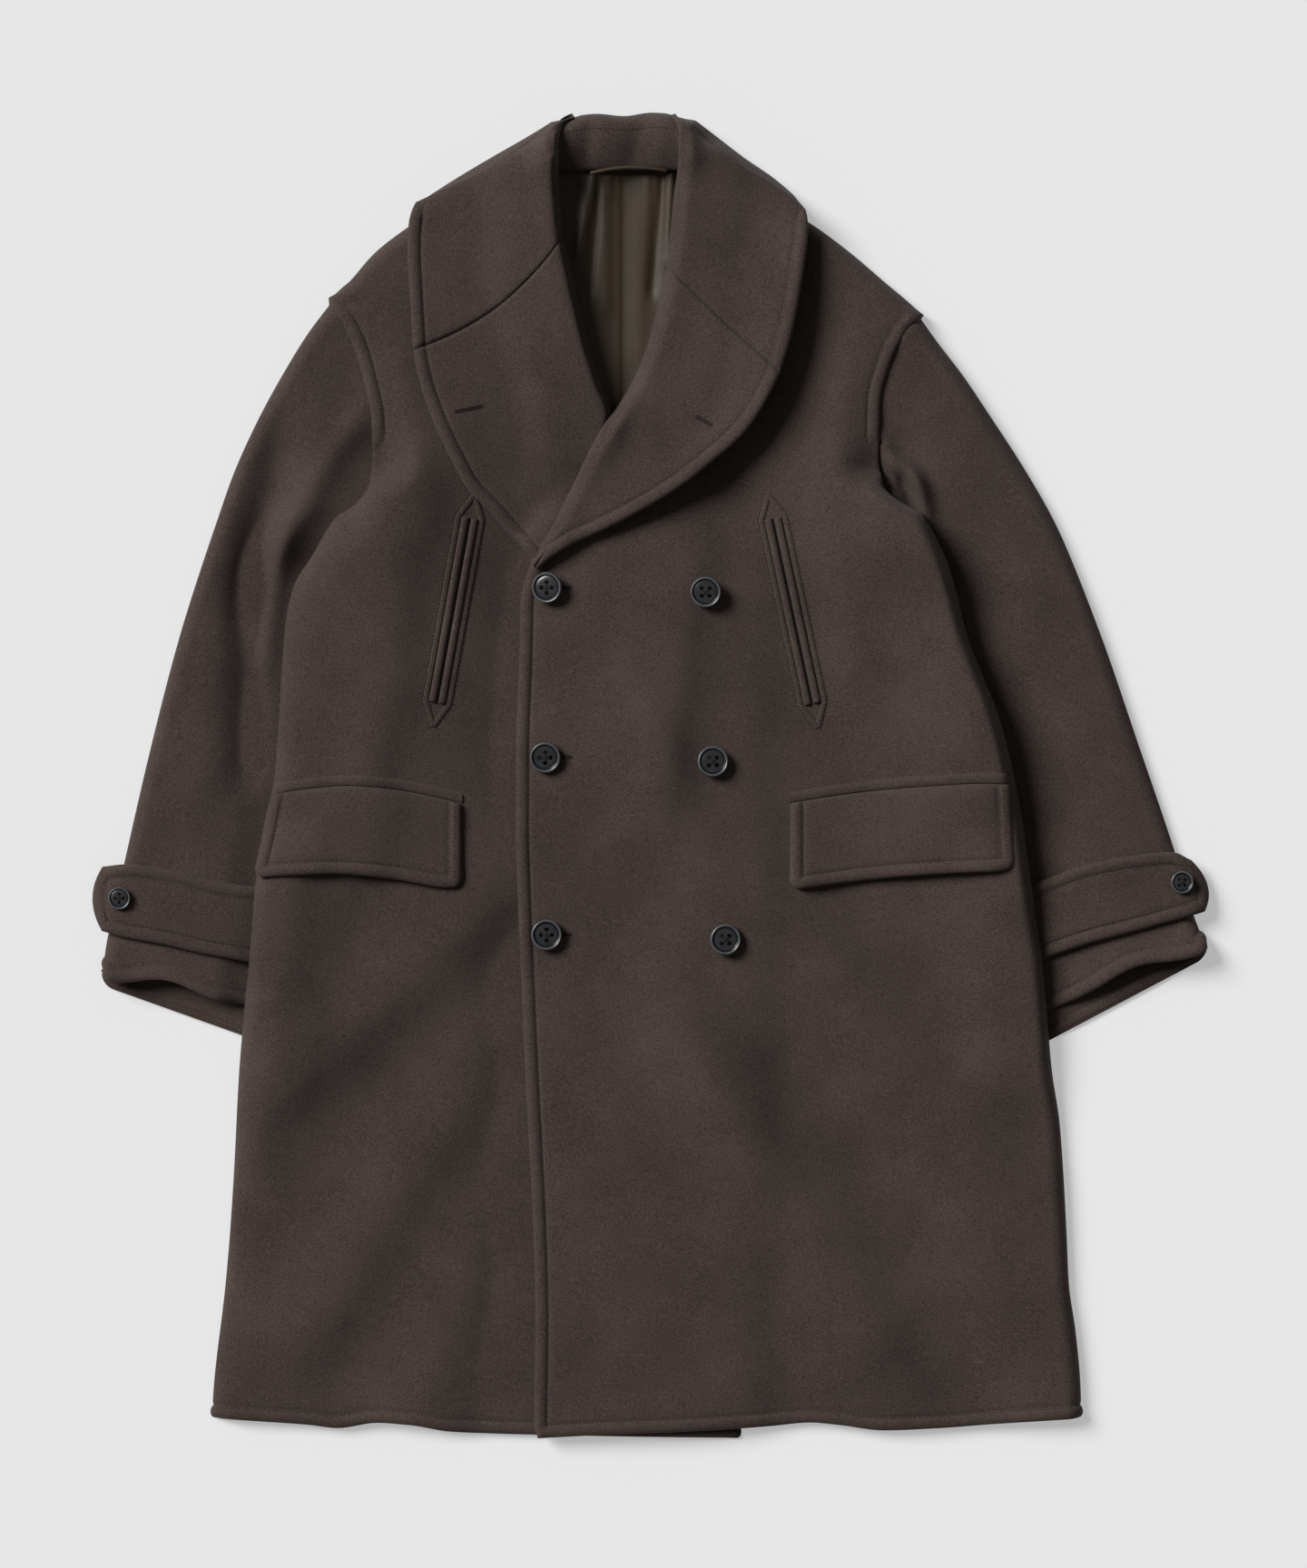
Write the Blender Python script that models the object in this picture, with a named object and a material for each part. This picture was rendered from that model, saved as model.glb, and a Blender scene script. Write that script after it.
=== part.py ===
"""Double-breasted shawl-collar overcoat, laid flat on its back with the sleeves along its sides.

Tables are in millimetres and the meshes in metres. +X is the wearer's left, +Y runs from hem to collar
and +Z up from the surface that the coat lies on. Left and right are the wearer's. Every piece of cloth is
laid on the pile of what is already under it, in the order in which the layers lie.
"""

import math

import bmesh
import bpy
import numpy as np

MM = 0.001
OUTWARD = {"right": -1.0, "left": 1.0}

# Cloth and sewing
WOOL = 3.0            # one layer of heavy melton
DOUBLE = 4.6          # collar, lapels, flaps and tabs: two layers turned and sewn
WELT = 2.4            # pocket lips and jets, standing on the front
SATIN = 1.2           # lining
TAPE = 1.6            # hanger loop
SEAM = 0.3            # between two pieces that are sewn together
LAP = 1.5             # between a panel and the panel that lies on it
ROLL = 13.0           # width of a rounded fold at a side, a shoulder or a sleeve edge
NECK_TUCK = 14.0      # how far a front's edge stops short of the lapel's fold round it
EDGE_BEAD = (0.0, 2.5, 6.5, 11.0, 13.5)      # from a turned edge, over its bead, to past the topstitching
BEAD_HEIGHT = (-1.0, 0.7, 1.2, -0.6, 0.0)    # cloth height there, against the plain panel

# Pile: a square grid of heights over the whole coat
CELL = 4.0
SPREAD_X = 520.0
SPREAD_Y = 620.0
SNUG = 1              # cells that the wall keeps clear of a step under it
CLOSE = 2             # cells that an edge keeps clear of one
BRIDGE = 4            # cells over which laid cloth bridges one
FINE = 25             # points across each quad when heights are compared

LEAST_MIDDLE = 20.0   # width left between the steps at the two ends of a section
SHARP = 50.0          # degrees between faces past which an edge is cut and not rounded

# Body: y of the sections, hem bands come after the last one
BODY_ROWS = (545, 525, 500, 470, 440, 417, 404, 391, 370, 340, 310, 284, 262, 246, 234, 220, 200, 175, 145,
             110, 70, 25, -25, -75, -125, -175, -230, -290, -350, -410, -470, -520, -550)
BACK_ROWS = (525, 500, 470, 440, 417, 404, 391, 370, 340, 310, 284, 262, 246, 234, 220, 200, 175, 145,
             100, 45, -25, -95, -165, -230, -300, -400, -500, -562)
FRONT_SPANS = 6
BACK_SPANS = 5
BACK_SIDE_STEPS = (0.0, 16.0, 34.0, 52.0, 72.0, 96.0)
BACK_INSET = 2.0      # how far the side seam lies in from the outline

# y, x: shoulder, armhole and side of each half, from neck to hem
RIGHT_OUTLINE = (
    (560, -91), (547, -111), (529, -141), (511, -172), (497, -192), (484, -213), (460, -244), (436, -265),
    (417, -284), (399, -272), (376, -261), (344, -252), (314, -246), (281, -245), (263, -247), (244, -257),
    (225, -279), (194, -298), (168, -314), (140, -321), (108, -324), (44, -328), (-4, -332), (-40, -340),
    (-84, -347), (-148, -352), (-204, -358), (-260, -363), (-356, -368), (-452, -375), (-548, -385),
    (-580, -387),
)
LEFT_OUTLINE = (
    (560, 38), (540, 63), (515, 102), (498, 122), (484, 144), (460, 176), (436, 204), (412, 232), (404, 239),
    (394, 228), (375, 216), (352, 207), (330, 202), (301, 201), (277, 200), (254, 206), (241, 220),
    (231, 237), (210, 250), (184, 262), (156, 270), (124, 278), (92, 290), (60, 303), (28, 313), (-4, 320),
    (-40, 327), (-84, 333), (-124, 338), (-164, 344), (-204, 348), (-260, 353), (-308, 360), (-404, 366),
    (-452, 368), (-500, 374), (-548, 378), (-580, 379),
)
RIGHT_SHOULDER_Y = 417
LEFT_SHOULDER_Y = 404
UNDERARM_Y = 232

# y, x: fold of each lapel down to the break, then the front edge; the right one is hidden below the break
RIGHT_FRONT_EDGE = (
    (573, -79), (543, -81), (512, -81), (475, -77), (451, -71), (414, -64), (377, -54), (340, -42), (319, -36),
    (280, -16), (240, 24), (200, 60), (170, 76), (140, 82), (20, 84), (-115, 82), (-396, 79), (-590, 78),
)
LEFT_FRONT_EDGE = (
    (579, 24), (555, 24), (530, 22), (503, 19), (456, 13), (420, 7), (384, -2), (359, -12), (337, -24),
    (322, -30), (297, -48), (279, -57), (255, -70), (221, -86), (200, -98), (184, -107), (172, -111),
    (154, -115), (106, -116), (20, -119), (-41, -119), (-115, -117), (-164, -115), (-236, -112), (-316, -108),
    (-396, -104), (-483, -102), (-570, -103), (-590, -98),
)
BREAK_Y = 190          # where the lapel's fold ends and the front edge begins
BREAK_RUN = 65         # over which the tuck round the fold runs out

# x, y: hem of each front, and the rows that take up its waves
HEM_Y = -584.0
HEM_FROM = -410.0
RIGHT_HEM = ((-400, -565), (-342, -569), (-302, -572), (-276, -575), (-241, -570), (-212, -572), (-177, -578),
             (-138, -580), (-102, -581), (78, -584))
LEFT_HEM = ((-110, -584), (-96, -583), (-44, -580), (31, -577), (105, -573), (140, -570), (164, -572),
            (204, -577), (253, -575), (303, -571), (343, -568), (390, -565))

# Loft of the fronts over the back, and the largest folds on them: from (x, y) to (x, y), width, height
LOFT = 2.6
SIDE_LOFT = {"right": 3.0, "left": 6.0}
SIDE_REACH = 55.0
RIGHT_FOLDS = (
    (-205, 420, -190, 250, 75, 6.5),
    (-214, 210, -226, -10, 60, 6.5),
    (-138, -108, -324, -280, 38, 8.0),
    (-190, -316, -284, -470, 36, 7.0),
    (-168, -450, -215, -570, 30, 4.0),
    (-118, 170, -118, -560, 38, -4.0),
    (-48, 302, -22, 286, 16, -1.6),
)
LEFT_FOLDS = (
    (150, 420, 140, 250, 75, 6.5),
    (218, 240, 262, 90, 60, 10.0),
    (280, 60, 306, -20, 45, 3.0),
    (30, 150, 12, 10, 34, 5.0),
    (12, 10, 46, -72, 34, 4.5),
    (37, -236, 186, -476, 44, 8.0),
    (110, -110, 270, -300, 38, 7.0),
    (290, -400, 330, -560, 38, 4.0),
)

# Sleeves: outer x, outer y, inner x, inner y, bow of the section, loft inside it
RIGHT_SLEEVE = (
    (-284, 416, -250, 262, 22, 9.0),
    (-304, 388, -257, 232, 17, 9.5),
    (-322, 358, -257, 204, 11, 10.0),
    (-345, 316, -254, 172, 5, 9.5),
    (-367, 268, -256, 140, 2, 9.0),
    (-384, 220, -260, 105, 0, 8.5),
    (-415, 124, -276, 30, 0, 8.0),
    (-440, 28, -296, -50, 0, 7.0),
    (-462, -68, -317, -125, 0, 6.5),
    (-480, -152, -335, -190, 0, 8.0),
    (-484, -180, -341, -206, 0, 10.5),
)
LEFT_SLEEVE = (
    (239, 403, 203, 266, -20, 9.0),
    (252, 383, 210, 236, -15, 9.5),
    (275, 352, 208, 208, -10, 10.0),
    (299, 316, 205, 176, -5, 9.5),
    (330, 268, 206, 144, -2, 9.0),
    (357, 220, 211, 108, 0, 8.5),
    (396, 124, 243, 38, 0, 8.0),
    (429, 28, 280, -46, 0, 7.0),
    (460, -64, 309, -124, 0, 6.5),
    (480, -132, 327, -184, 0, 8.0),
    (490, -155, 331, -214, 0, 10.5),
)
SLEEVE_ROWS = 21
SLEEVE_SPANS = 5
UNDER_ROWS = 12
UNDER_SPANS = 5
SLEEVE_FLAT = 0.85      # share of the loft that the coat's side presses out of the sleeve under it
PRESS_FROM = {"right": -30.0, "left": -60.0}   # where that begins, measured in from the coat's side
PRESS_TO = 6.0          # where it is complete
PRESS_TOP = 250.0       # y below which it comes in, and over what height
PRESS_FADE = 60.0
UNDERARM_PRESS = 0.75   # share of the loft pressed out where the sleeve goes in under the arm
UNDERARM_REACH = 45.0
HEAD_GAP = 1.5          # between the sleeve head and the armhole
HEAD_BLEND = 0.3        # share of the sleeve's length that is eased to the armhole's line
CUFF_CUT = 9.0          # how far the top of the cuff is drawn back in its middle
CUFF_CUT_AT = 0.38
CUFF_CUT_WIDTH = 0.25
CUFF_CUT_BEND = 12      # how near the cuff that begins
UNDER_CUFF = (5.0, 30.0)   # how far the under sleeve shows past the top one, at its outer and inner edge

# Collar and lapels, a row for each section from the fold to the outer edge:
# outer x, outer y, fold x, fold y, bow, rise at the fold, rise at the edge, width of the rolled fold
RIGHT_LAPEL = (
    (-209, 373, -77, 472, -14, 13, 3, 12),
    (-205, 352, -72, 452, -12, 13, 4, 12),
    (-192, 313, -64, 416, -6, 12, 4, 12),
    (-176, 279, -54, 376, -2, 10, 3, 12),
    (-161, 252, -44, 344, 0, 8, 3, 12),
    (-140, 230, -35, 316, 0, 5, 3, 8),
    (-121, 208, -62, 258, 0, 1, 1, 2),
    (-107, 192, -80, 222, 0, 0, 0, 2),
    (-98, 182, -86, 200, 0, 0, 0, 2),
)
LEFT_LAPEL = (
    (112, 352, 13, 446, 0, 8, 17, 15),
    (102, 332, 8, 422, 0, 8, 18, 15),
    (84, 304, -1, 387, 0, 7, 19, 15),
    (53, 275, -12, 357, 0, 6, 18, 15),
    (16, 248, -28, 328, 0, 6, 15, 15),
    (-24, 230, -47, 299, 0, 5, 10, 15),
    (-67, 215, -68, 256, 0, 3, 4, 14),
    (-91, 200, -88, 216, 0, 1, 1, 7),
    (-104, 190, -101, 196, 0, 0, 0, 2),
)
RIGHT_COLLAR = (
    (-209, 373, -77, 472, -14, 13, 3, 12),
    (-212, 420, -80, 504, -8, 14, 3, 12),
    (-214, 460, -81, 528, -3, 14, 4, 12),
    (-213, 485, -81, 541, 0, 14, 5, 12),
    (-208, 502, -81, 549, 0, 13, 6, 12),
    (-195, 511, -81, 556, 0, 12, 7, 12),
    (-170, 527, -80, 562, 0, 11, 7, 12),
    (-138, 546, -80, 567, 0, 10, 7, 12),
    (-110, 564, -79, 572, 0, 8, 7, 12),
    (-94, 574, -79, 580, 0, 6, 6, 12),
)
LEFT_COLLAR = (
    (112, 352, 13, 446, 0, 8, 17, 15),
    (123, 388, 17, 480, 0, 9, 16, 15),
    (130, 424, 20, 512, 0, 10, 14, 15),
    (135, 456, 23, 532, 0, 10, 12, 15),
    (138, 480, 24, 544, 0, 10, 10, 15),
    (136, 495, 24, 552, 0, 10, 9, 15),
    (128, 508, 24, 558, 0, 10, 8, 15),
    (108, 526, 24, 564, 0, 9, 7, 15),
    (82, 544, 24, 568, 0, 8, 7, 15),
    (62, 558, 24, 573, 0, 7, 7, 15),
    (44, 577, 24, 585, 0, 6, 6, 15),
)
COLLAR_CORNERS = {"right": 4, "left": 5}   # section where the collar's outer edge goes over the shoulder
GORGE_LENGTH = 60.0     # of the first stretch along the edge, for the seam's gap
LAPEL_ROWS = 12
COLLAR_ROWS = 13
LAPEL_SPANS = 4

# Neck: x, y of the collar's top fold; stand, hidden fall and lining
NECK_TOP = ((-90, 580), (-73, 582), (-48, 583), (-24, 581), (0, 584), (30, 587))
NECK_SEAM_Y = 531.0
STAND_ENDS = (-77.0, 21.5)
STAND_DEPTH = 50.0
STAND_RISE = (1.5, 8.0)    # over the fall, at the neck seam and at the fold
STAND_ROWS = 4
STAND_COLUMNS = 9
FALL_INSET = 9.0           # from the collar's top fold
FALL_FOOT = 4.0            # above the neck seam
FALL_ENDS = (-66.0, 11.0)
FALL_ROWS = 3
FALL_COLUMNS = 6
LINING_ROWS = (529, 515, 500, 480, 455, 430, 400, 370, 340, 312)
LINING_TUCK = 17.0
LINING_SPANS = 15
LINING_PLEAT_X = -27.0
PLEAT_STEP = 0.8
PLEAT_SOFT = 3.0
# y of the top, x, width, height, length: gathers of the lining below the neck seam
LINING_FOLDS = (
    (530, -58, 9, 3.4, 60),
    (530, -44, 7, 2.2, 45),
    (530, -18, 10, 2.6, 180),
    (530, 6, 8, 3.4, 70),
)
LOOP_ENDS = ((-48.0, 530.5), (14.0, 535.0))
LOOP_WIDTH = 5.0
LOOP_COLUMNS = 9
LOOP_ARCH = 2.0

# Chest pockets: x, y of the slit's ends and the lips along it
CHEST_SLITS = {"right": (-159, 226, -188, 64), "left": (107, 226, 142, 63)}
LIP_WIDTH = 7.0
LIP_GAP = 0.8
LIP_ROWS = 9
LIP_ACROSS = (0.0, 0.22, 0.78, 1.0)    # share of the width from the slit, and the height there
LIP_HEIGHT = (0.3, 0.8, 0.8, 0.0)

# Flap pockets: x and y along the seam, then the flap's depth there
RIGHT_FLAP = ((-334, -17, 74), (-305, -12, 76), (-267, -9, 78), (-228, -12, 79), (-190, -19, 79),
              (-166, -25, 74))
LEFT_FLAP = ((122, -24, 77), (160, -18, 78), (200, -13, 78), (250, -9, 78), (290, -7, 78), (315, -8, 74))
FLAP_SKEW = {"right": -15.0, "left": 4.0}   # how far the outer lower corner stands out past the upper one
FLAP_LENGTH = 184.0
FLAP_DEPTH = 78.0
FLAP_SPANS = 4
FLAP_END = EDGE_BEAD[:1] + EDGE_BEAD[2:]
FLAP_RISE = 2.5
FLAP_DROOP = 6.0        # how far its outer end hangs down over the coat's side
FLAP_BEND = 6           # how near its end the droop begins
JET_WIDTH = 9.0
JET_ACROSS = (1.0, 0.75, 0.25, 0.0)    # share of the width from the flap's seam, and the height there
JET_HEIGHT = (0.0, 0.8, 0.8, 0.3)

# Cuff tabs: top x, top y, bottom x, bottom y along the tab from its buttoned end
RIGHT_TAB = ((-484, -80, -484, -137), (-462, -78, -462, -143), (-416, -84, -425, -150), (-388, -92, -400, -156),
             (-358, -97, -368, -162), (-340, -100, -350, -166))
LEFT_TAB = ((476, -74, 488, -120), (456, -67, 463, -127), (413, -72, 420, -139), (377, -80, 386, -148),
            (350, -90, 359, -157), (330, -97, 340, -164))
TAB_DEPTH = 60.0
TAB_END_BOW = 9.0
TAB_END_BEND = 6        # how soon the bow of the buttoned end runs out
TAB_COLUMNS = 11
TAB_CROWD = 1.3         # columns lie closer towards the buttoned end
TAB_SPANS = 2
TAB_RISE = 0.5

# Buttons: x, y, diameter, tilt about X and Y in degrees
BUTTONS = (
    ("front_button_right_top", -91, 165, 27.5, 2, 7),
    ("front_button_right_middle", -93, 16, 27.5, 7, -3),
    ("front_button_right_bottom", -92, -140, 27.5, 2, 2),
    ("front_button_left_top", 48, 161, 27.5, 3, -4),
    ("front_button_left_middle", 54, 12, 27.5, -4, 3),
    ("front_button_left_bottom", 65, -144, 27.5, 2, 3),
    ("cuff_button_right", -467, -108, 20.0, 0, -4),
    ("cuff_button_left", 466, -94, 20.0, 0, 4),
)
BUTTON_SIDES = 18
BUTTON_FEELERS = 16     # points round the rim where the cloth's height is felt
# share of the radius, share of the thickness: a turned profile from the middle of the back to the dished face
BUTTON_PROFILE = ((0.0, 0.0), (0.84, 0.0), (1.0, 0.42), (0.93, 0.95), (0.76, 0.9), (0.62, 0.62), (0.0, 0.55))
BUTTON_THICKNESS = 0.17   # of the diameter
SHANK = 0.8

MELTON = ("melton_wool", (0.052, 0.040, 0.036), 0.95)
LINING = ("satin_lining", (0.056, 0.042, 0.032), 0.45)
HORN = ("horn_button", (0.016, 0.019, 0.021), 0.3)


def curve(table, key, value):
    """A smooth function through two columns of a table that never overshoots its points."""
    order = sorted(table, key=lambda row: row[key])
    x = np.array([row[key] for row in order], float)
    y = np.array([row[value] for row in order], float)
    step = np.diff(x)
    slope = np.diff(y) / step
    tangent = np.concatenate(([slope[0]], np.zeros(len(x) - 2), [slope[-1]]))
    same_way = slope[:-1] * slope[1:] > 0
    with np.errstate(divide="ignore", invalid="ignore"):
        tangent[1:-1] = np.where(same_way, 2 * slope[:-1] * slope[1:] / (slope[:-1] + slope[1:]), 0.0)

    def at(points):
        points = np.clip(np.asarray(points, float), x[0], x[-1])
        i = np.clip(np.searchsorted(x, points, side="right") - 1, 0, len(step) - 1)
        t = (points - x[i]) / step[i]
        start = (1 + 2 * t) * (1 - t) ** 2 * y[i] + t * (1 - t) ** 2 * step[i] * tangent[i]
        end = t * t * (3 - 2 * t) * y[i + 1] - t * t * (1 - t) * step[i] * tangent[i + 1]
        return start + end

    return at


def columns_of(table):
    """Every column of a table as a smooth function of the share of the way down its rows."""
    rows = [(i / (len(table) - 1), *row) for i, row in enumerate(table)]
    return [curve(rows, 0, k) for k in range(1, len(rows[0]))]


def roll_steps(width):
    """Distances from a rolled edge whose points lie evenly round its quarter turn."""
    return [width * (1 - math.cos(math.radians(a))) for a in (0, 30, 60, 90)]


def stations(length, first, last, spans):
    """Shares of the way along a line: near steps from each end, in millimetres, and even spans between."""
    squeeze = min(1.0, length / (first[-1] + last[-1] + LEAST_MIDDLE))
    start = [d * squeeze for d in first]
    finish = [length - d * squeeze for d in reversed(last)]
    middle = np.linspace(start[-1], finish[0], spans + 1)[1:-1]
    return np.concatenate((start, middle, finish)) / length


def distance(x, y, line):
    """Distance in plan from each point to a line through a list of points."""
    best = np.full(x.shape, 1e9)
    for (ax, ay), (bx, by) in zip(line[:-1], line[1:]):
        ux, uy = bx - ax, by - ay
        t = np.clip(((x - ax) * ux + (y - ay) * uy) / max(ux * ux + uy * uy, 1e-9), 0, 1)
        best = np.minimum(best, np.hypot(x - ax - t * ux, y - ay - t * uy))
    return best


def ridges(x, y, folds):
    """Height of soft folds, each a straight ridge that fades out all round."""
    total = np.zeros(x.shape)
    for x0, y0, x1, y1, width, height in folds:
        total += height * np.exp(-((distance(x, y, [(x0, y0), (x1, y1)]) / width) ** 2))
    return total


def border(rows, cols):
    """Rows and columns round the closed outline of a grid of points."""
    loop = [(0, j) for j in range(cols)]
    loop += [(i, cols - 1) for i in range(1, rows)]
    loop += [(rows - 1, j) for j in range(cols - 2, -1, -1)]
    loop += [(i, 0) for i in range(rows - 2, 0, -1)]
    return loop


def between(*grids):
    """Values at fine points between the corners of every quad of each grid, and how far quads are twisted."""
    v, u = np.meshgrid(np.linspace(0, 1, FINE), np.linspace(0, 1, FINE), indexing="ij")
    found = []
    for f in grids:
        a, b, c, d = (corner[:, :, None, None] for corner in (f[:-1, :-1], f[:-1, 1:], f[1:, :-1], f[1:, 1:]))
        found.append((1 - v) * ((1 - u) * a + u * b) + v * ((1 - u) * c + u * d))
    return found, abs(a - b - c + d) / 4


def side(x, y, which):
    """One side of a grid as a list of points: first or last row, first or last column."""
    pick = {"top": np.s_[0, :], "bottom": np.s_[-1, :], "start": np.s_[:, 0], "end": np.s_[:, -1]}[which]
    return list(zip(x[pick], y[pick]))


class Pile:
    """Heights of the cloth laid so far, on a grid of cells."""

    def __init__(self):
        self.x = np.arange(-SPREAD_X, SPREAD_X + CELL, CELL)
        self.y = np.arange(-SPREAD_Y, SPREAD_Y + CELL, CELL)
        self.top = np.zeros((len(self.y), len(self.x)))

    def covered(self, x, y):
        """Cells whose middle lies inside the outline of a grid of points."""
        loop = [(x[i, j], y[i, j]) for i, j in border(*x.shape)]
        cx, cy = np.meshgrid(self.x, self.y)
        inside = np.zeros(cx.shape, bool)
        for (ax, ay), (bx, by) in zip(loop, loop[1:] + loop[:1]):
            if ay != by:
                crossing = (ay > cy) != (by > cy)
                inside ^= crossing & (cx < (bx - ax) * (cy - ay) / (by - ay) + ax)
        return inside

    def sample(self, field, x, y):
        """Height of a field of cells at points, blended between cells."""
        fx = np.clip((x - self.x[0]) / CELL, 0, len(self.x) - 1.001)
        fy = np.clip((y - self.y[0]) / CELL, 0, len(self.y) - 1.001)
        i, j = fy.astype(int), fx.astype(int)
        v, u = fy - i, fx - j
        low = field[i, j] * (1 - u) + field[i, j + 1] * u
        high = field[i + 1, j] * (1 - u) + field[i + 1, j + 1] * u
        return low * (1 - v) + high * v

    def rest(self, x, y):
        """Heights of the pile for cloth laid on it: for its wall, for its edges, and bridging the steps."""
        def spread(field, pick, times):
            for _ in range(times):
                padded = np.pad(field, 1, mode="edge")
                rows, cols = field.shape
                field = pick([padded[a:a + rows, b:b + cols] for a in range(3) for b in range(3)], axis=0)
            return field

        snug = spread(np.where(self.covered(x, y), self.top, 0.0), np.max, SNUG)
        close = spread(snug, np.max, CLOSE - SNUG)
        bridged = spread(spread(close, np.max, BRIDGE - CLOSE), np.mean, BRIDGE)
        return snug, close, bridged

    def add(self, x, y, z):
        """Raises the cells under a grid of points to the height of its surface."""
        (px, py, pz), twist = between(x, y, z)
        cols = np.clip(np.rint((px - self.x[0]) / CELL).astype(int), 0, len(self.x) - 1)
        rows = np.clip(np.rint((py - self.y[0]) / CELL).astype(int), 0, len(self.y) - 1)
        reached = np.zeros(self.top.shape)
        np.maximum.at(reached, (rows, cols), pz + twist)
        self.top = np.where(self.covered(x, y), np.maximum(self.top, reached), self.top)


pile = Pile()


def material(finish):
    """The finish's material, made once."""
    name, colour, roughness = finish
    made = bpy.data.materials.get(name)
    if made is None:
        made = bpy.data.materials.new(name)
        made.use_nodes = True
        shader = made.node_tree.nodes["Principled BSDF"]
        shader.inputs["Base Color"].default_value = (*colour, 1.0)
        shader.inputs["Roughness"].default_value = roughness
    return made


def link(name, mesh, finish):
    """A named object of a bmesh, shaded smooth but for its cut edges."""
    data = bpy.data.meshes.new(name)
    mesh.to_mesh(data)
    mesh.free()
    data.shade_smooth()
    data.set_sharp_from_angle(angle=math.radians(SHARP))
    data.materials.append(material(finish))
    made = bpy.data.objects.new(name, data)
    bpy.context.scene.collection.objects.link(made)
    return made


def wall(name, outer, inner, finish):
    """A closed wall between two grids of points, in millimetres."""
    mesh = bmesh.new()
    top, under = [[[mesh.verts.new(p * MM) for p in row] for row in grid] for grid in (outer, inner)]
    loop = border(*outer.shape[:2])
    px, py = np.array([outer[i, j, :2] for i, j in loop]).T
    turn = 1 if np.sum(px * np.roll(py, -1) - np.roll(px, -1) * py) > 0 else -1
    for i in range(len(top) - 1):
        for j in range(len(top[0]) - 1):
            quad = [(i, j), (i, j + 1), (i + 1, j + 1), (i + 1, j)]
            mesh.faces.new([top[a][b] for a, b in quad[::turn]])
            mesh.faces.new([under[a][b] for a, b in quad[::-turn]])
    for (a, b), (c, d) in zip(loop, loop[1:] + loop[:1]):
        mesh.faces.new([under[a][b], under[c][d], top[c][d], top[a][b]][::turn])
    return link(name, mesh, finish)


def normals(points):
    """Upward unit normals of a grid of points."""
    along = np.gradient(points, axis=0)
    across = np.gradient(points, axis=1)
    n = np.cross(across, along)
    n /= np.maximum(np.linalg.norm(n, axis=2, keepdims=True), 1e-9)
    return n * np.where(n[..., 2:] < 0, -1.0, 1.0)


def lay(name, x, y, finish, thick=WOOL, loft=0.0, gap=SEAM, rolled=(), roll=ROLL, beaded=(), flat=False):
    """Lays one piece of cloth on the pile. Rolled edges turn down to what is under them, beaded edges are
    turned and topstitched, and a flat piece is cut straight down."""
    snug, close, bridged = pile.rest(x, y)

    def clear(field, px, py, room):
        height = pile.sample(field, px, py)
        return height + room * np.clip(height, 0, 1)

    top = clear(bridged, x, y, gap) + loft + thick
    if rolled:
        foot = clear(close, x, y, SEAM)
        left = np.clip(1 - np.min([distance(x, y, line) for line in rolled], axis=0) / roll, 0, 1)
        top = foot + (top - foot) * np.sqrt(1 - left ** 2)
    plain = np.stack((x, y, top), axis=2)
    up = np.array((0.0, 0.0, 1.0)) if flat else normals(plain)
    inner = plain - thick * up
    inner[..., 2] = np.maximum(inner[..., 2], clear(close, inner[..., 0], inner[..., 1], SEAM))
    (px, py, pz), twist = between(*np.moveaxis(inner, 2, 0))
    lack = (clear(snug, px, py, SEAM) - pz + twist).max(axis=(2, 3))
    rise = np.zeros(x.shape)
    for i, j in ((0, 0), (0, 1), (1, 0), (1, 1)):
        corner = rise[i:i + lack.shape[0], j:j + lack.shape[1]]
        np.maximum(corner, lack, out=corner)
    plain[..., 2] += rise
    inner[..., 2] += rise
    outer = plain
    if beaded:
        edge = np.min([distance(x, y, line) for line in beaded], axis=0)
        outer = plain + np.interp(edge, EDGE_BEAD, BEAD_HEIGHT)[..., None] * up
    pile.add(x, y, outer[..., 2])
    return wall(name, outer, inner, finish)


def sections(table, rows, first, last, spans):
    """Grid through a table of sections from an outer to an inner end with a sideways bow, and the share of the
    way along its section that each point lies."""
    ox, oy, ix, iy, bow = columns_of(table)[:5]
    x, y, share = [], [], []
    for v in rows:
        ends = np.array([ox(v), oy(v), ix(v), iy(v)])
        across = ends[2:] - ends[:2]
        length = np.hypot(*across)
        u = stations(length, first, last, spans)
        lean = np.array([-across[1], across[0]]) / length
        arch = 4 * u * (1 - u) * bow(v)
        x.append(ends[0] + u * across[0] + arch * lean[0])
        y.append(ends[1] + u * across[1] + arch * lean[1])
        share.append(u)
    return np.array(x), np.array(y), np.array(share)


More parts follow.
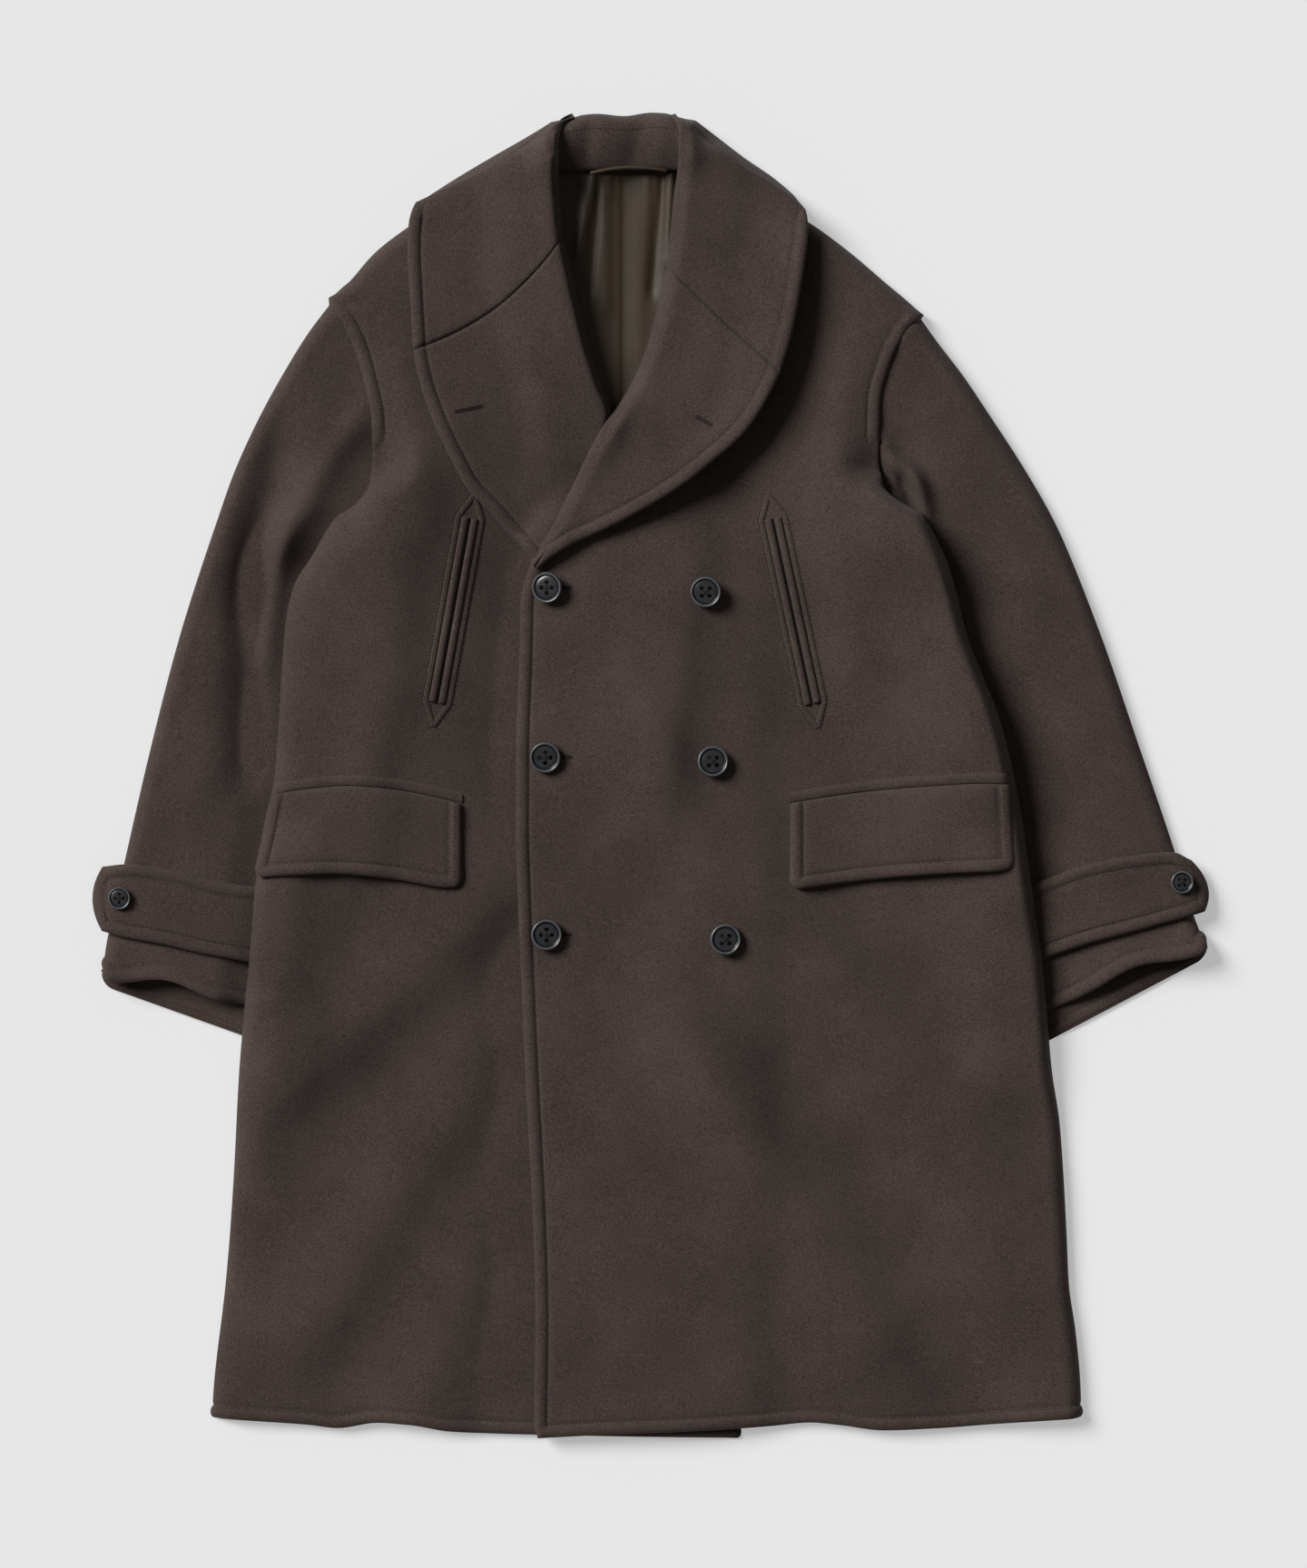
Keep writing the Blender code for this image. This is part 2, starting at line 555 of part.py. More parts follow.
def sleeves():
    """Each sleeve: a flat under sleeve on the surface and a lofted top sleeve over it, open at the cuff."""
    for hand, table, outline in (("right", RIGHT_SLEEVE, RIGHT_OUTLINE), ("left", LEFT_SLEEVE, LEFT_OUTLINE)):
        loft = columns_of(table)[5]
        outward = OUTWARD[hand]
        body = np.sort(BODY_ROWS)
        body_side = curve(outline, 0, 1)(body)

        def headed(x, y, rows):
            """Eases the sleeve's head on to the line of the armhole."""
            off = np.interp(y[0], body, body_side) + outward * HEAD_GAP - x[0]
            return x + np.outer(np.clip(1 - rows / HEAD_BLEND, 0, 1) ** 2, off)

        longer = table[:-1] + (tuple(np.add(table[-1], (0, -UNDER_CUFF[0], 0, -UNDER_CUFF[1], 0, 0))),)
        rows = np.linspace(0, 1, UNDER_ROWS)
        x, y, _ = sections(longer, rows, [0.0], [0.0], UNDER_SPANS)
        lay(f"sleeve_{hand}_under", headed(x, y, rows), y, MELTON, flat=True)
        rows = np.linspace(0, 1, SLEEVE_ROWS)
        x, y, u = sections(table, rows, roll_steps(ROLL), roll_steps(ROLL), SLEEVE_SPANS)
        x = headed(x, y, rows)
        drawn = CUFF_CUT * np.exp(-(((u - CUFF_CUT_AT) / CUFF_CUT_WIDTH) ** 2)) * np.sin(np.pi * u)
        y = y + (rows ** CUFF_CUT_BEND)[:, None] * drawn
        edges = [side(x, y, "start"), side(x, y, "end")]
        inside = outward * (np.interp(y, body, body_side) - x)
        press = np.clip((inside - PRESS_FROM[hand]) / (PRESS_TO - PRESS_FROM[hand]), 0, 1)
        press = press * press * (3 - 2 * press) * np.clip((PRESS_TOP - y) / PRESS_FADE, 0, 1)
        pressed = 1 - SLEEVE_FLAT * press
        near = np.hypot(x - table[0][2], y - table[0][3]) / UNDERARM_REACH
        pressed *= 1 - UNDERARM_PRESS * np.exp(-near ** 2)
        lay(f"sleeve_{hand}_top", x, y, MELTON, loft=loft(rows)[:, None] * pressed, rolled=edges)


def cuff_tabs():
    """A buttoned tab across each cuff, its far end under the coat's side."""
    for hand, table in (("right", RIGHT_TAB), ("left", LEFT_TAB)):
        tx, ty, bx, by = columns_of(table)
        v = np.linspace(0, 1, TAB_COLUMNS) ** TAB_CROWD
        u = stations(TAB_DEPTH, EDGE_BEAD, EDGE_BEAD, TAB_SPANS)
        x = np.outer(tx(v), 1 - u) + np.outer(bx(v), u)
        y = np.outer(ty(v), 1 - u) + np.outer(by(v), u)
        x += OUTWARD[hand] * TAB_END_BOW * np.outer((1 - v) ** TAB_END_BEND, 4 * u * (1 - u))
        edges = [side(x, y, name) for name in ("start", "end", "top")]
        lay(f"cuff_tab_{hand}", x, y, MELTON, thick=DOUBLE, loft=TAB_RISE, beaded=edges)


def back():
    """The back, flat on the surface, rising at its sides over the tucked sleeves."""
    right, left = curve(RIGHT_OUTLINE, 0, 1), curve(LEFT_OUTLINE, 0, 1)
    x, y = [], []
    for row in BACK_ROWS:
        start, end = right(row) + BACK_INSET, left(row) - BACK_INSET
        u = stations(end - start, BACK_SIDE_STEPS, BACK_SIDE_STEPS, BACK_SPANS)
        x.append(start + u * (end - start))
        y.append(np.full(len(u), float(row)))
    lay("back", np.array(x), np.array(y), MELTON, gap=LAP, flat=True)


def lining():
    """The back lining as far as the open neck shows it, with its centre pleat and gathers."""
    right, left = curve(RIGHT_FRONT_EDGE, 0, 1), curve(LEFT_FRONT_EDGE, 0, 1)
    y = np.repeat(np.array(LINING_ROWS, float)[:, None], LINING_SPANS + 1, axis=1)
    u = np.linspace(0, 1, LINING_SPANS + 1)
    low, high = right(y) - LINING_TUCK, left(y) + LINING_TUCK
    x = low + u * (high - low)
    loft = PLEAT_STEP / (1 + np.exp(-(x - LINING_PLEAT_X) / PLEAT_SOFT))
    for top, at, width, height, length in LINING_FOLDS:
        loft += height * np.exp(-(((x - at) / width) ** 2)) * np.clip(1 - (top - y) / length, 0, 1)
    lay("back_lining", x, y, LINING, thick=SATIN, loft=loft)


def collar_back():
    """Behind the neck: the fall on the surface, the stand folded up over it, and the hanger loop."""
    top = curve(NECK_TOP, 0, 1)
    x = np.repeat(np.linspace(*FALL_ENDS, FALL_COLUMNS)[None, :], FALL_ROWS, axis=0)
    v = np.linspace(0, 1, FALL_ROWS)[:, None]
    y = (top(x) - FALL_INSET) * (1 - v) + (NECK_SEAM_Y + FALL_FOOT) * v
    lay("collar_fall", x, y, MELTON, flat=True)
    v = stations(STAND_DEPTH, roll_steps(ROLL), [0.0], STAND_ROWS)[:, None]
    x = np.repeat(np.linspace(*STAND_ENDS, STAND_COLUMNS)[None, :], len(v), axis=0)
    y = top(x) * (1 - v) + NECK_SEAM_Y * v
    loft = STAND_RISE[1] + (STAND_RISE[0] - STAND_RISE[1]) * v ** 1.5
    lay("collar_stand", x, y, MELTON, loft=loft, rolled=[side(x, y, "top")])
    (x0, y0), (x1, y1) = LOOP_ENDS
    u = np.linspace(0, 1, LOOP_COLUMNS)
    v = np.array((-0.5, 0.0, 0.5))
    x = np.repeat((x0 + u * (x1 - x0))[:, None], len(v), axis=1)
    y = (y0 + u * (y1 - y0))[:, None] + LOOP_WIDTH * v
    lay("hanger_loop", x, y, LINING, thick=TAPE, loft=(LOOP_ARCH * np.sin(np.pi * u))[:, None])


def front(hand):
    """A front from shoulder to hem, turned and stitched along its edge and hem and rolled over at the side."""
    right = hand == "right"
    edge = curve(RIGHT_FRONT_EDGE if right else LEFT_FRONT_EDGE, 0, 1)
    outline = curve(RIGHT_OUTLINE if right else LEFT_OUTLINE, 0, 1)
    hem = curve(RIGHT_HEM if right else LEFT_HEM, 0, 1)
    x, y = [], []
    for row in BODY_ROWS + tuple(HEM_Y + d for d in reversed(EDGE_BEAD)):
        tuck = NECK_TUCK * np.clip((row - BREAK_Y) / BREAK_RUN, 0, 1)
        start, end = edge(row) + OUTWARD[hand] * tuck, outline(row)
        u = stations(abs(end - start), EDGE_BEAD, roll_steps(ROLL), FRONT_SPANS)
        line = start + u * (end - start)
        drop = np.clip((HEM_FROM - row) / (HEM_FROM - HEM_Y), 0, 1)
        x.append(line)
        y.append(row + drop * (hem(line) - HEM_Y))
    x, y = np.array(x), np.array(y)
    shoulder = RIGHT_SHOULDER_Y if right else LEFT_SHOULDER_Y
    ends = side(x, y, "end")
    over = [p for p in ends if p[1] >= shoulder - 1]
    flank = [p for p in ends if p[1] <= UNDERARM_Y]
    loft = LOFT + ridges(x, y, RIGHT_FOLDS if right else LEFT_FOLDS)
    loft += SIDE_LOFT[hand] * np.exp(-((distance(x, y, ends) / SIDE_REACH) ** 2))
    turned = [p for p in side(x, y, "start") if p[1] <= BREAK_Y]
    return lay(f"front_{hand}", x, y, MELTON, loft=loft, gap=LAP, rolled=[over, flank],
               beaded=[turned, side(x, y, "bottom")])


def lapel_and_collar(hand):
    """The turned-back lapel and the collar's wing beside it, meeting at the gorge seam."""
    right = hand == "right"
    lapel = RIGHT_LAPEL if right else LEFT_LAPEL
    wing = RIGHT_COLLAR if right else LEFT_COLLAR
    corner = COLLAR_CORNERS[hand] / (len(wing) - 1)
    for name, table, count in (("lapel", lapel, LAPEL_ROWS), ("collar", wing, COLLAR_ROWS)):
        rows = np.linspace(0, 1, count)
        rows[0] = SEAM / GORGE_LENGTH
        fold_rise, edge_rise, roll = columns_of(table)[5:]
        x, y, u = sections(table, rows, EDGE_BEAD, roll_steps(roll(0)), LAPEL_SPANS)
        loft = fold_rise(rows)[:, None] * u ** 2 + edge_rise(rows)[:, None] * (1 - u) ** 2
        free = side(x, y, "start")
        rolled = [side(x, y, "end")]
        if name == "collar":
            turn = [i for i, v in enumerate(rows) if v >= corner][0]
            rolled += [free[turn:], side(x, y, "bottom")]
            free = free[:turn + 1]
        lay(f"{name}_{hand}", x, y, MELTON, thick=DOUBLE, loft=loft, gap=LAP, rolled=rolled,
            roll=roll(rows)[:, None], beaded=[free])


def chest_pocket(hand):
    """Two raised lips along the slanted slit of a chest pocket."""
    x0, y0, x1, y1 = CHEST_SLITS[hand]
    length = math.hypot(x1 - x0, y1 - y0)
    along = np.array([x1 - x0, y1 - y0]) / length
    lean = np.array([-along[1], along[0]])
    v = np.linspace(0, length, LIP_ROWS)[:, None]
    for name, way in (("front", -1.0), ("back", 1.0)):
        across = way * (LIP_GAP / 2 + LIP_WIDTH * np.array(LIP_ACROSS))[None, :]
        x = x0 + along[0] * v + lean[0] * across
        y = y0 + along[1] * v + lean[1] * across
        lay(f"chest_welt_{hand}_{name}", x, y, MELTON, thick=WELT, loft=np.array(LIP_HEIGHT)[None, :])


def flap_pocket(hand):
    """A pocket flap under its jet, standing a little off the front at its lower edge."""
    x_at, y_at, depth = columns_of(RIGHT_FLAP if hand == "right" else LEFT_FLAP)
    u = stations(FLAP_LENGTH, FLAP_END, FLAP_END, FLAP_SPANS)
    v = stations(FLAP_DEPTH, [0.0], EDGE_BEAD, FLAP_SPANS)[:, None]
    outer_end = 1 - u if hand == "right" else u
    x = x_at(u)[None, :] + FLAP_SKEW[hand] * outer_end[None, :] ** 2 * v
    y = y_at(u)[None, :] - depth(u)[None, :] * v - SEAM
    edges = [side(x, y, name) for name in ("start", "end", "bottom")]
    loft = FLAP_RISE * v ** 2 - FLAP_DROOP * outer_end ** FLAP_BEND
    lay(f"flap_{hand}", x, y, MELTON, thick=DOUBLE, loft=loft, gap=LAP, beaded=edges)
    x = np.repeat(x_at(u)[None, :], len(JET_ACROSS), axis=0)
    y = y_at(u)[None, :] + JET_WIDTH * np.array(JET_ACROSS)[:, None]
    lay(f"flap_jet_{hand}", x, y, MELTON, thick=WELT, loft=np.array(JET_HEIGHT)[:, None])


def buttons():
    """Turned buttons with a rim and a dished face, each on a short shank over the cloth."""
    for name, x, y, diameter, tilt_x, tilt_y in BUTTONS:
        radius = diameter / 2
        thick = BUTTON_THICKNESS * diameter
        mesh = bmesh.new()
        profile = [mesh.verts.new((r * radius * MM, 0.0, z * thick * MM)) for r, z in BUTTON_PROFILE]
        edges = [mesh.edges.new(pair) for pair in zip(profile[:-1], profile[1:])]
        bmesh.ops.spin(mesh, geom=profile + edges, axis=(0, 0, 1), cent=(0, 0, 0), angle=2 * math.pi,
                       steps=BUTTON_SIDES, use_merge=True)
        bmesh.ops.remove_doubles(mesh, verts=mesh.verts, dist=1e-6)
        bmesh.ops.recalc_face_normals(mesh, faces=mesh.faces)
        ring = np.linspace(0, 2 * math.pi, BUTTON_FEELERS)
        under = pile.sample(pile.top, x + radius * np.cos(ring), y + radius * np.sin(ring)).max()
        lean = radius * math.sin(math.radians(max(abs(tilt_x), abs(tilt_y))))
        made = link(name, mesh, HORN)
        made.location = (x * MM, y * MM, (under + lean + SHANK) * MM)
        made.rotation_euler = (math.radians(tilt_x), math.radians(tilt_y), 0.0)


def coat():
    for old in list(bpy.data.objects):
        bpy.data.objects.remove(old)
    sleeves()
    cuff_tabs()
    back()
    lining()
    collar_back()
    front("right")
    lapel_and_collar("right")
    front("left")
    lapel_and_collar("left")
    for hand in ("right", "left"):
        chest_pocket(hand)
        flap_pocket(hand)
    buttons()


coat()
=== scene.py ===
"""Looks of a double-breasted shawl-collar overcoat that lies flat on its back.

Tables are in millimetres and the meshes in metres. Left and right are the wearer's, +X is the wearer's left and
+Y runs from hem to collar. Each piece of cloth is a fine sheet, laid on the pile of what is under it, that stands
for the solid of the same name. Buttons, stitching and pocket trim lie on those sheets.
"""

import math

import bmesh
import bpy
import numpy as np
from mathutils import Matrix, Vector
from mathutils.bvhtree import BVHTree


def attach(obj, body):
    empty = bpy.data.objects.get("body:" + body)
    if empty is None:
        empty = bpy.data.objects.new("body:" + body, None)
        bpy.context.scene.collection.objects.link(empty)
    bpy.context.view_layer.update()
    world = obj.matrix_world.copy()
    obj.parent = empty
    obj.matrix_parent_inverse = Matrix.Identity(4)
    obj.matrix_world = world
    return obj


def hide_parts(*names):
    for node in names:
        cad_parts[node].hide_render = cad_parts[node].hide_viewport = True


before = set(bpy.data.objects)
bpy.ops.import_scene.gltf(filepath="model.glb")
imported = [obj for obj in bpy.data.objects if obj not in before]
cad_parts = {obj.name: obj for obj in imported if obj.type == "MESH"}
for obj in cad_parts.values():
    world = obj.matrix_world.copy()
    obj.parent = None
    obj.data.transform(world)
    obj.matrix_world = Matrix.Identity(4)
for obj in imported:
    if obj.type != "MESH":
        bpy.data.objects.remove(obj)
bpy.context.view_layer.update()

MM = 0.001
OUTWARD = {"right": -1.0, "left": 1.0}
HANDS = ("right", "left")

# Cloth and sewing
WOOL = 3.0            # one layer of heavy melton
DOUBLE = 4.6          # collar, lapels, flaps and tabs: two layers turned and sewn
TRIM = 1.0            # folded lips and jets of the pockets
SATIN = 1.2           # lining
TAPE = 1.6            # hanger loop
SEAM = 0.3            # between two pieces that are sewn together
LAP = 1.5             # between a panel and the panel that lies on it
ROLL = 13.0           # width of a rounded fold at a side, a shoulder or a sleeve edge
NECK_TUCK = 14.0      # how far a front's edge stops short of the lapel's fold round it
STITCH_AT = 11.6      # topstitching, in from a turned edge
STITCH_LIFT = 0.15    # height of the stand's stitches over it
LEAST_AREA = 0.3      # share of a rectangular cut that a shaped piece fills at least
# Distance from a turned edge, and the cloth's height there: rounded edge, soft bead, stitched groove
TURN_AT = (0.0, 0.4, 1.0, 2.0, 3.4, 5.2, 7.2, 9.0, 10.3, 11.1, STITCH_AT, 12.2, 13.2, 15.0, 18.0)
TURN_UP = (-2.3, -1.2, -0.3, 0.6, 1.2, 1.5, 1.4, 0.8, 0.0, -0.7, -1.0, -0.7, -0.3, 0.0, 0.0)
# The same at a plain seam: cloth dips to the sewing line
SEAM_AT = (0.0, 0.8, 1.8, 3.2, 6.0)
SEAM_UP = (-1.5, -0.9, -0.4, -0.1, 0.0)
# The same at a pressed-open seam
CREASE_AT = (0.0, 0.8, 1.8, 3.2, 5.0)
CREASE_UP = (-0.9, -0.5, -0.1, 0.1, 0.0)

# Pile: a square grid of heights over the whole coat
CELL = 3.0
SPREAD_X = 520.0
SPREAD_Y = 620.0
BRIDGE = 4            # cells over which laid cloth bridges a step
WIDE_BRIDGE = 9       # the same for the fronts, which span more
FINE = 4              # points across each quad when the pile is read
LEAST_MIDDLE = 20.0   # width left between the steps at the two ends of a section
ABOVE = 200.0         # height from which a sheet's height is looked up
NO_CAP = 1000.0       # a limit of height that nothing reaches

# Body: y of the first section, spacing of the rest
BODY_TOP = 545.0
BODY_STEP = 5.0
BODY_SPANS = 84
BACK_TOP = 525.0
BACK_HEM = -560.0
BACK_ROWS = 130
BACK_COLUMNS = 96
BACK_INSET = 2.0
ARM_INSET = 3.0       # more of it at the armholes, where the sleeve's head is sewn in

# y, x: shoulder, armhole and side of each half, from neck to hem
RIGHT_OUTLINE = (
    (560, -91), (547, -111), (529, -141), (511, -172), (497, -192), (484, -213), (460, -244), (436, -265),
    (417, -284), (399, -272), (376, -261), (344, -252), (314, -246), (281, -245), (263, -247), (244, -257),
    (225, -279), (194, -298), (168, -314), (140, -321), (108, -324), (44, -328), (-4, -332), (-40, -340),
    (-84, -347), (-148, -352), (-204, -358), (-260, -363), (-356, -368), (-452, -375), (-548, -385),
    (-580, -387),
)
LEFT_OUTLINE = (
    (560, 38), (540, 63), (515, 102), (498, 122), (484, 144), (460, 176), (436, 204), (412, 232), (404, 239),
    (394, 228), (375, 216), (352, 207), (330, 202), (301, 201), (277, 200), (254, 206), (241, 220),
    (231, 237), (210, 250), (184, 262), (156, 270), (124, 278), (92, 290), (60, 303), (28, 313), (-4, 320),
    (-40, 327), (-84, 333), (-124, 338), (-164, 344), (-204, 348), (-260, 353), (-308, 360), (-404, 366),
    (-452, 368), (-500, 374), (-548, 378), (-580, 379),
)
OUTLINE = {"right": RIGHT_OUTLINE, "left": LEFT_OUTLINE}
SHOULDER_Y = {"right": 417, "left": 404}
UNDERARM_Y = 240
INSET_FROM = UNDERARM_Y - 10   # y from which the back is inset more, and over what height that comes in
INSET_RUN = 20.0
ARM_FOOT = UNDERARM_Y + 15     # y down to which the body takes no height from the tucked sleeve
SEAM_FOOT = UNDERARM_Y - 5     # y down to which the armhole is a seam
MEET_FROM = UNDERARM_Y + 5     # y from which a front meets the sleeve at the armhole, and over what height
MEET_RUN = 25.0
MEET_SHORT = 8.0               # how far below the shoulder's tip that ends
MEET_BLUR = 4                  # rows on each side over which the sleeve's height is evened out
HEM_SEWN = 8                   # points at the side that the hem's stitches leave out

# y, x: fold of each lapel down to the break, then the front edge; the right one is hidden below the break
FRONT_EDGE = {
    "right": ((573, -79), (543, -81), (512, -81), (475, -77), (451, -71), (414, -64), (377, -54), (340, -42),
              (319, -36), (280, -16), (240, 24), (200, 60), (170, 76), (140, 82), (20, 84), (-115, 82),
              (-396, 79), (-590, 78)),
    "left": ((579, 24), (555, 24), (530, 22), (503, 19), (456, 13), (420, 7), (384, -2), (359, -12), (337, -24),
             (322, -30), (297, -48), (279, -57), (255, -70), (221, -86), (200, -98), (184, -107), (172, -111),
             (154, -115), (106, -116), (20, -119), (-41, -119), (-115, -117), (-164, -115), (-236, -112),
             (-316, -108), (-396, -104), (-483, -102), (-570, -103), (-590, -98)),
}
BREAK_Y = 190          # where the lapel's fold ends and the front edge begins
RIDGE_FOOT = 300       # down to which the armhole is topstitched
ARM_CAP = 6.0          # most height that a front takes from the pile beside the armhole
BREAK_RUN = 65         # over which the tuck round the fold runs out

# x, y: hem of each front, and the rows that take up its waves
HEM_Y = -584.0
HEM_FROM = -410.0
HEM = {
    "right": ((-400, -565), (-342, -569), (-302, -572), (-276, -575), (-241, -570), (-212, -572), (-177, -578),
              (-138, -580), (-102, -581), (78, -584)),
    "left": ((-110, -584), (-96, -583), (-44, -580), (31, -577), (105, -573), (140, -570), (164, -572),
             (204, -577), (253, -575), (303, -571), (343, -568), (390, -565)),
}

# Loft of the fronts over the back
LOFT = 2.6
LEAST_LOFT = 0.4
SIDE_LOFT = {"right": 3.0, "left": 6.0}
SIDE_REACH = 55.0
SIDE_ROLL = {"right": 34.0, "left": 14.0}
UNDERLAP_TAPER = 60.0  # over which the hidden edge of the right front thins out under the left one
ARM_REACH = 45.0       # over which a front is drawn to the height of the sleeve at the armhole
# Folds on the fronts: from (x, y) up to (x, y), width to the left of that way, width to its right, height
FOLDS = {
    "right": (
        (-190, 250, -205, 420, 70, 80, 7.0),
        (-226, -10, -214, 210, 60, 62, 8.0),
        (-324, -280, -138, -108, 44, 32, 10.0),
        (-284, -470, -190, -316, 44, 30, 8.0),
        (-215, -570, -168, -450, 34, 28, 4.0),
        (-118, -560, -118, 170, 34, 40, -6.5),
        (-48, 302, -22, 286, 16, 16, -1.6),
    ),
    "left": (
        (140, 250, 150, 420, 75, 75, 6.5),
        (290, 70, 246, 196, 62, 36, 19.0),
        (318, -60, 294, 50, 45, 30, 9.0),
        (12, 10, 30, 150, 46, 22, 7.0),
        (46, -72, 12, 10, 46, 24, 6.0),
        (186, -476, 37, -236, 50, 38, 13.0),
        (270, -300, 110, -110, 44, 32, 11.0),
        (330, -560, 290, -400, 40, 40, 4.0),
    ),
}
# Waviness of heavy cloth that was pressed and laid out: direction in degrees, length, phase, height
WAVES = ((18, 210, 0.4, 0.50), (74, 147, 1.9, 0.40), (131, 96, 4.0, 0.22), (162, 63, 2.2, 0.12))

# Sleeves: outer x, outer y, inner x, inner y, bow of the section, loft inside it
SLEEVE = {
    "right": ((-284, 416, -250, 262, 22, 9.0), (-304, 388, -257, 232, 17, 9.5), (-322, 358, -257, 204, 11, 10.0),
              (-345, 316, -254, 172, 5, 9.5), (-367, 268, -256, 140, 2, 9.0), (-384, 220, -260, 105, 0, 8.5),
              (-415, 124, -276, 30, 0, 8.0), (-440, 28, -296, -50, 0, 7.0), (-462, -68, -317, -125, 0, 6.5),
              (-480, -152, -335, -190, 0, 8.5), (-484, -180, -341, -206, 0, 15.0)),
    "left": ((239, 403, 203, 266, -20, 14.0), (252, 383, 210, 236, -15, 13.5), (275, 352, 208, 208, -10, 12.5),
             (299, 316, 205, 176, -5, 11.0), (330, 268, 206, 144, -2, 9.0), (357, 220, 211, 108, 0, 8.5),
             (396, 124, 243, 38, 0, 8.0), (429, 28, 280, -46, 0, 7.0), (460, -64, 309, -124, 0, 6.5),
             (480, -132, 327, -184, 0, 8.5), (490, -155, 331, -214, 0, 15.0)),
}
SLEEVE_LENGTH = 650.0
SLEEVE_ROWS = 160
SLEEVE_SPANS = 56
SLEEVE_LEAST = 0.4      # loft that is always left
SLEEVE_FLAT = 1.0       # share of the loft that the coat's side presses out of the sleeve under it
PRESS_FROM = {"right": -30.0, "left": -75.0}   # where that begins, measured in from the coat's side
PRESS_TO = 6.0          # where it is complete
PRESS_TOP = 250.0       # y below which it comes in, and over what height
PRESS_FADE = 60.0
UNDERARM_PRESS = 0.75   # share of the loft pressed out where the sleeve goes in under the arm
UNDERARM_REACH = 45.0
HEAD_TUCK = 6.0         # how far the sleeve head goes in under the armhole
TIP_SHARE = 0.15        # share of the head over which that comes in from the shoulder's tip
TIP_LEAST = 0.25        # and how much of it there is at that tip
FOOT_TUCK = 14.0        # and how much more there is under the arm
FOOT_SHARE = 0.2        # share of the head over which that comes in
CUFF_SEWN = 6           # points at the outer corner that the cuff's stitches leave out
HEAD_BLEND = 0.3        # share of the sleeve's length that is eased to the armhole's line
CUFF_ROUND = {"under": 10.0, "top": 10.0}   # radius of the cuff's corner at the sleeve's outer edge
CUFF_CUT = 12.0          # how far the top of the cuff is drawn back in its middle
CUFF_CUT_AT = 0.38
CUFF_CUT_WIDTH = 0.25
CUFF_CUT_BEND = 12      # how near the cuff that begins
UNDER_CUFF = (5.0, 30.0)   # how far the under sleeve shows past the top one, at its outer and inner edge
SLEEVE_FOLDS = {
    "right": ((-352, 20, -350, 170, 20, 18, -10.0), (-350, 170, -330, 270, 18, 20, -9.0),
              (-334, 110, -326, 206, 14, 14, 6.0), (-326, 206, -262, 302, 14, 16, 8.0),
              (-388, 30, -374, 210, 26, 24, 3.0), (-300, 320, -316, 380, 30, 30, 3.0)),
    "left": ((420, -50, 390, 110, 30, 30, 1.5), (320, 190, 272, 350, 50, 40, 3.0)),
}
# The left sleeve's cloth is pinched into a small loop where it goes in under the arm
UNDERARM_LOOP = {
    "right": (),
    "left": ((216, 272, 207, 288, 8, 8, 5.0), (229, 263, 216, 272, 8, 8, 6.5), (236, 248, 230, 262, 8, 8, 6.5),
             (241, 232, 236, 247, 7, 8, 5.0), (229, 243, 223, 257, 6, 6, -8.0)),
}

# Collar and lapels, a row for each section from the fold to the outer edge:
# outer x, outer y, fold x, fold y, bow, rise at the fold, rise at the edge, width of the rolled fold
LAPEL = {
    "right": ((-209, 373, -77, 472, -14, 13, 3, 8), (-205, 352, -72, 452, -12, 13, 4, 8),
              (-192, 313, -64, 416, -6, 12, 4, 8), (-176, 279, -54, 376, -2, 10, 3, 8),
              (-161, 252, -44, 344, 0, 8, 3, 8), (-140, 230, -35, 316, 0, 5, 3, 6),
              (-121, 208, -62, 258, 0, 1, 1, 2), (-107, 192, -80, 222, 0, -1, -1, 2),
              (-98, 182, -86, 200, 0, -3, -3, 2)),
    "left": ((112, 352, 13, 446, 0, 7, 24, 15), (102, 332, 8, 422, 0, 7, 25, 15), (84, 304, -1, 387, 0, 6, 25, 15),
             (53, 275, -12, 357, 0, 5, 23, 15), (16, 247, -28, 328, 0, 5, 17, 15), (-24, 224, -47, 299, 0, 4, 9, 15),
             (-67, 203, -71, 251, 0, 1, 2, 14), (-88, 190, -88, 217, 0, -3, -2, 9),
             (-99, 180, -107, 188, 0, -9, -9, 5)),
}
COLLAR = {
    "right": ((-209, 373, -77, 472, -14, 13, 3, 8), (-212, 420, -80, 504, -8, 14, 3, 8),
              (-214, 460, -81, 528, -3, 14, 4, 8), (-213, 485, -81, 541, 0, 14, 5, 8),
              (-208, 502, -81, 549, 0, 12, 6, 12), (-195, 511, -81, 556, 0, 10, 6, 13),
              (-170, 527, -80, 562, 0, 8, 5, 14), (-138, 546, -79, 567, 0, 5, 4, 15),
              (-110, 562, -76, 573, 0, 2, 2, 14), (-88, 575.5, -67, 578.6, 0, -5, -3, 12)),
    "left": ((112, 352, 13, 446, 0, 7, 24, 15), (123, 388, 17, 480, 0, 8, 22, 15), (130, 424, 20, 512, 0, 9, 19, 15),
             (135, 456, 23, 532, 0, 9, 16, 15), (138, 480, 24, 544, 0, 9, 12, 15), (136, 495, 24, 552, 0, 9, 9, 15),
             (128, 508, 24, 558, 0, 8, 7, 15), (108, 526, 24, 564, 0, 6, 6, 15), (82, 544, 23, 569, 0, 4, 4, 16),
             (61, 560, 20, 575, 0, 1, 2, 14), (39, 577, 16, 580.6, 0, -5, -3, 12)),
}
COLLAR_CORNERS = {"right": 4, "left": 5}   # section where the collar's outer edge goes over the shoulder
GORGE_FROM = 4          # points left out at the ends of the gorge seam's dark strip: its sunk thread, and painted shade of the seam's crease
GORGE_OFF = ((-0.1, -0.45, -0.05), (0.0, 0.0, 0.15), (0.1, 0.45, -0.05))
COLLAR_EASE = 14        # rows over which the outer edge goes from turned to rolled at that corner
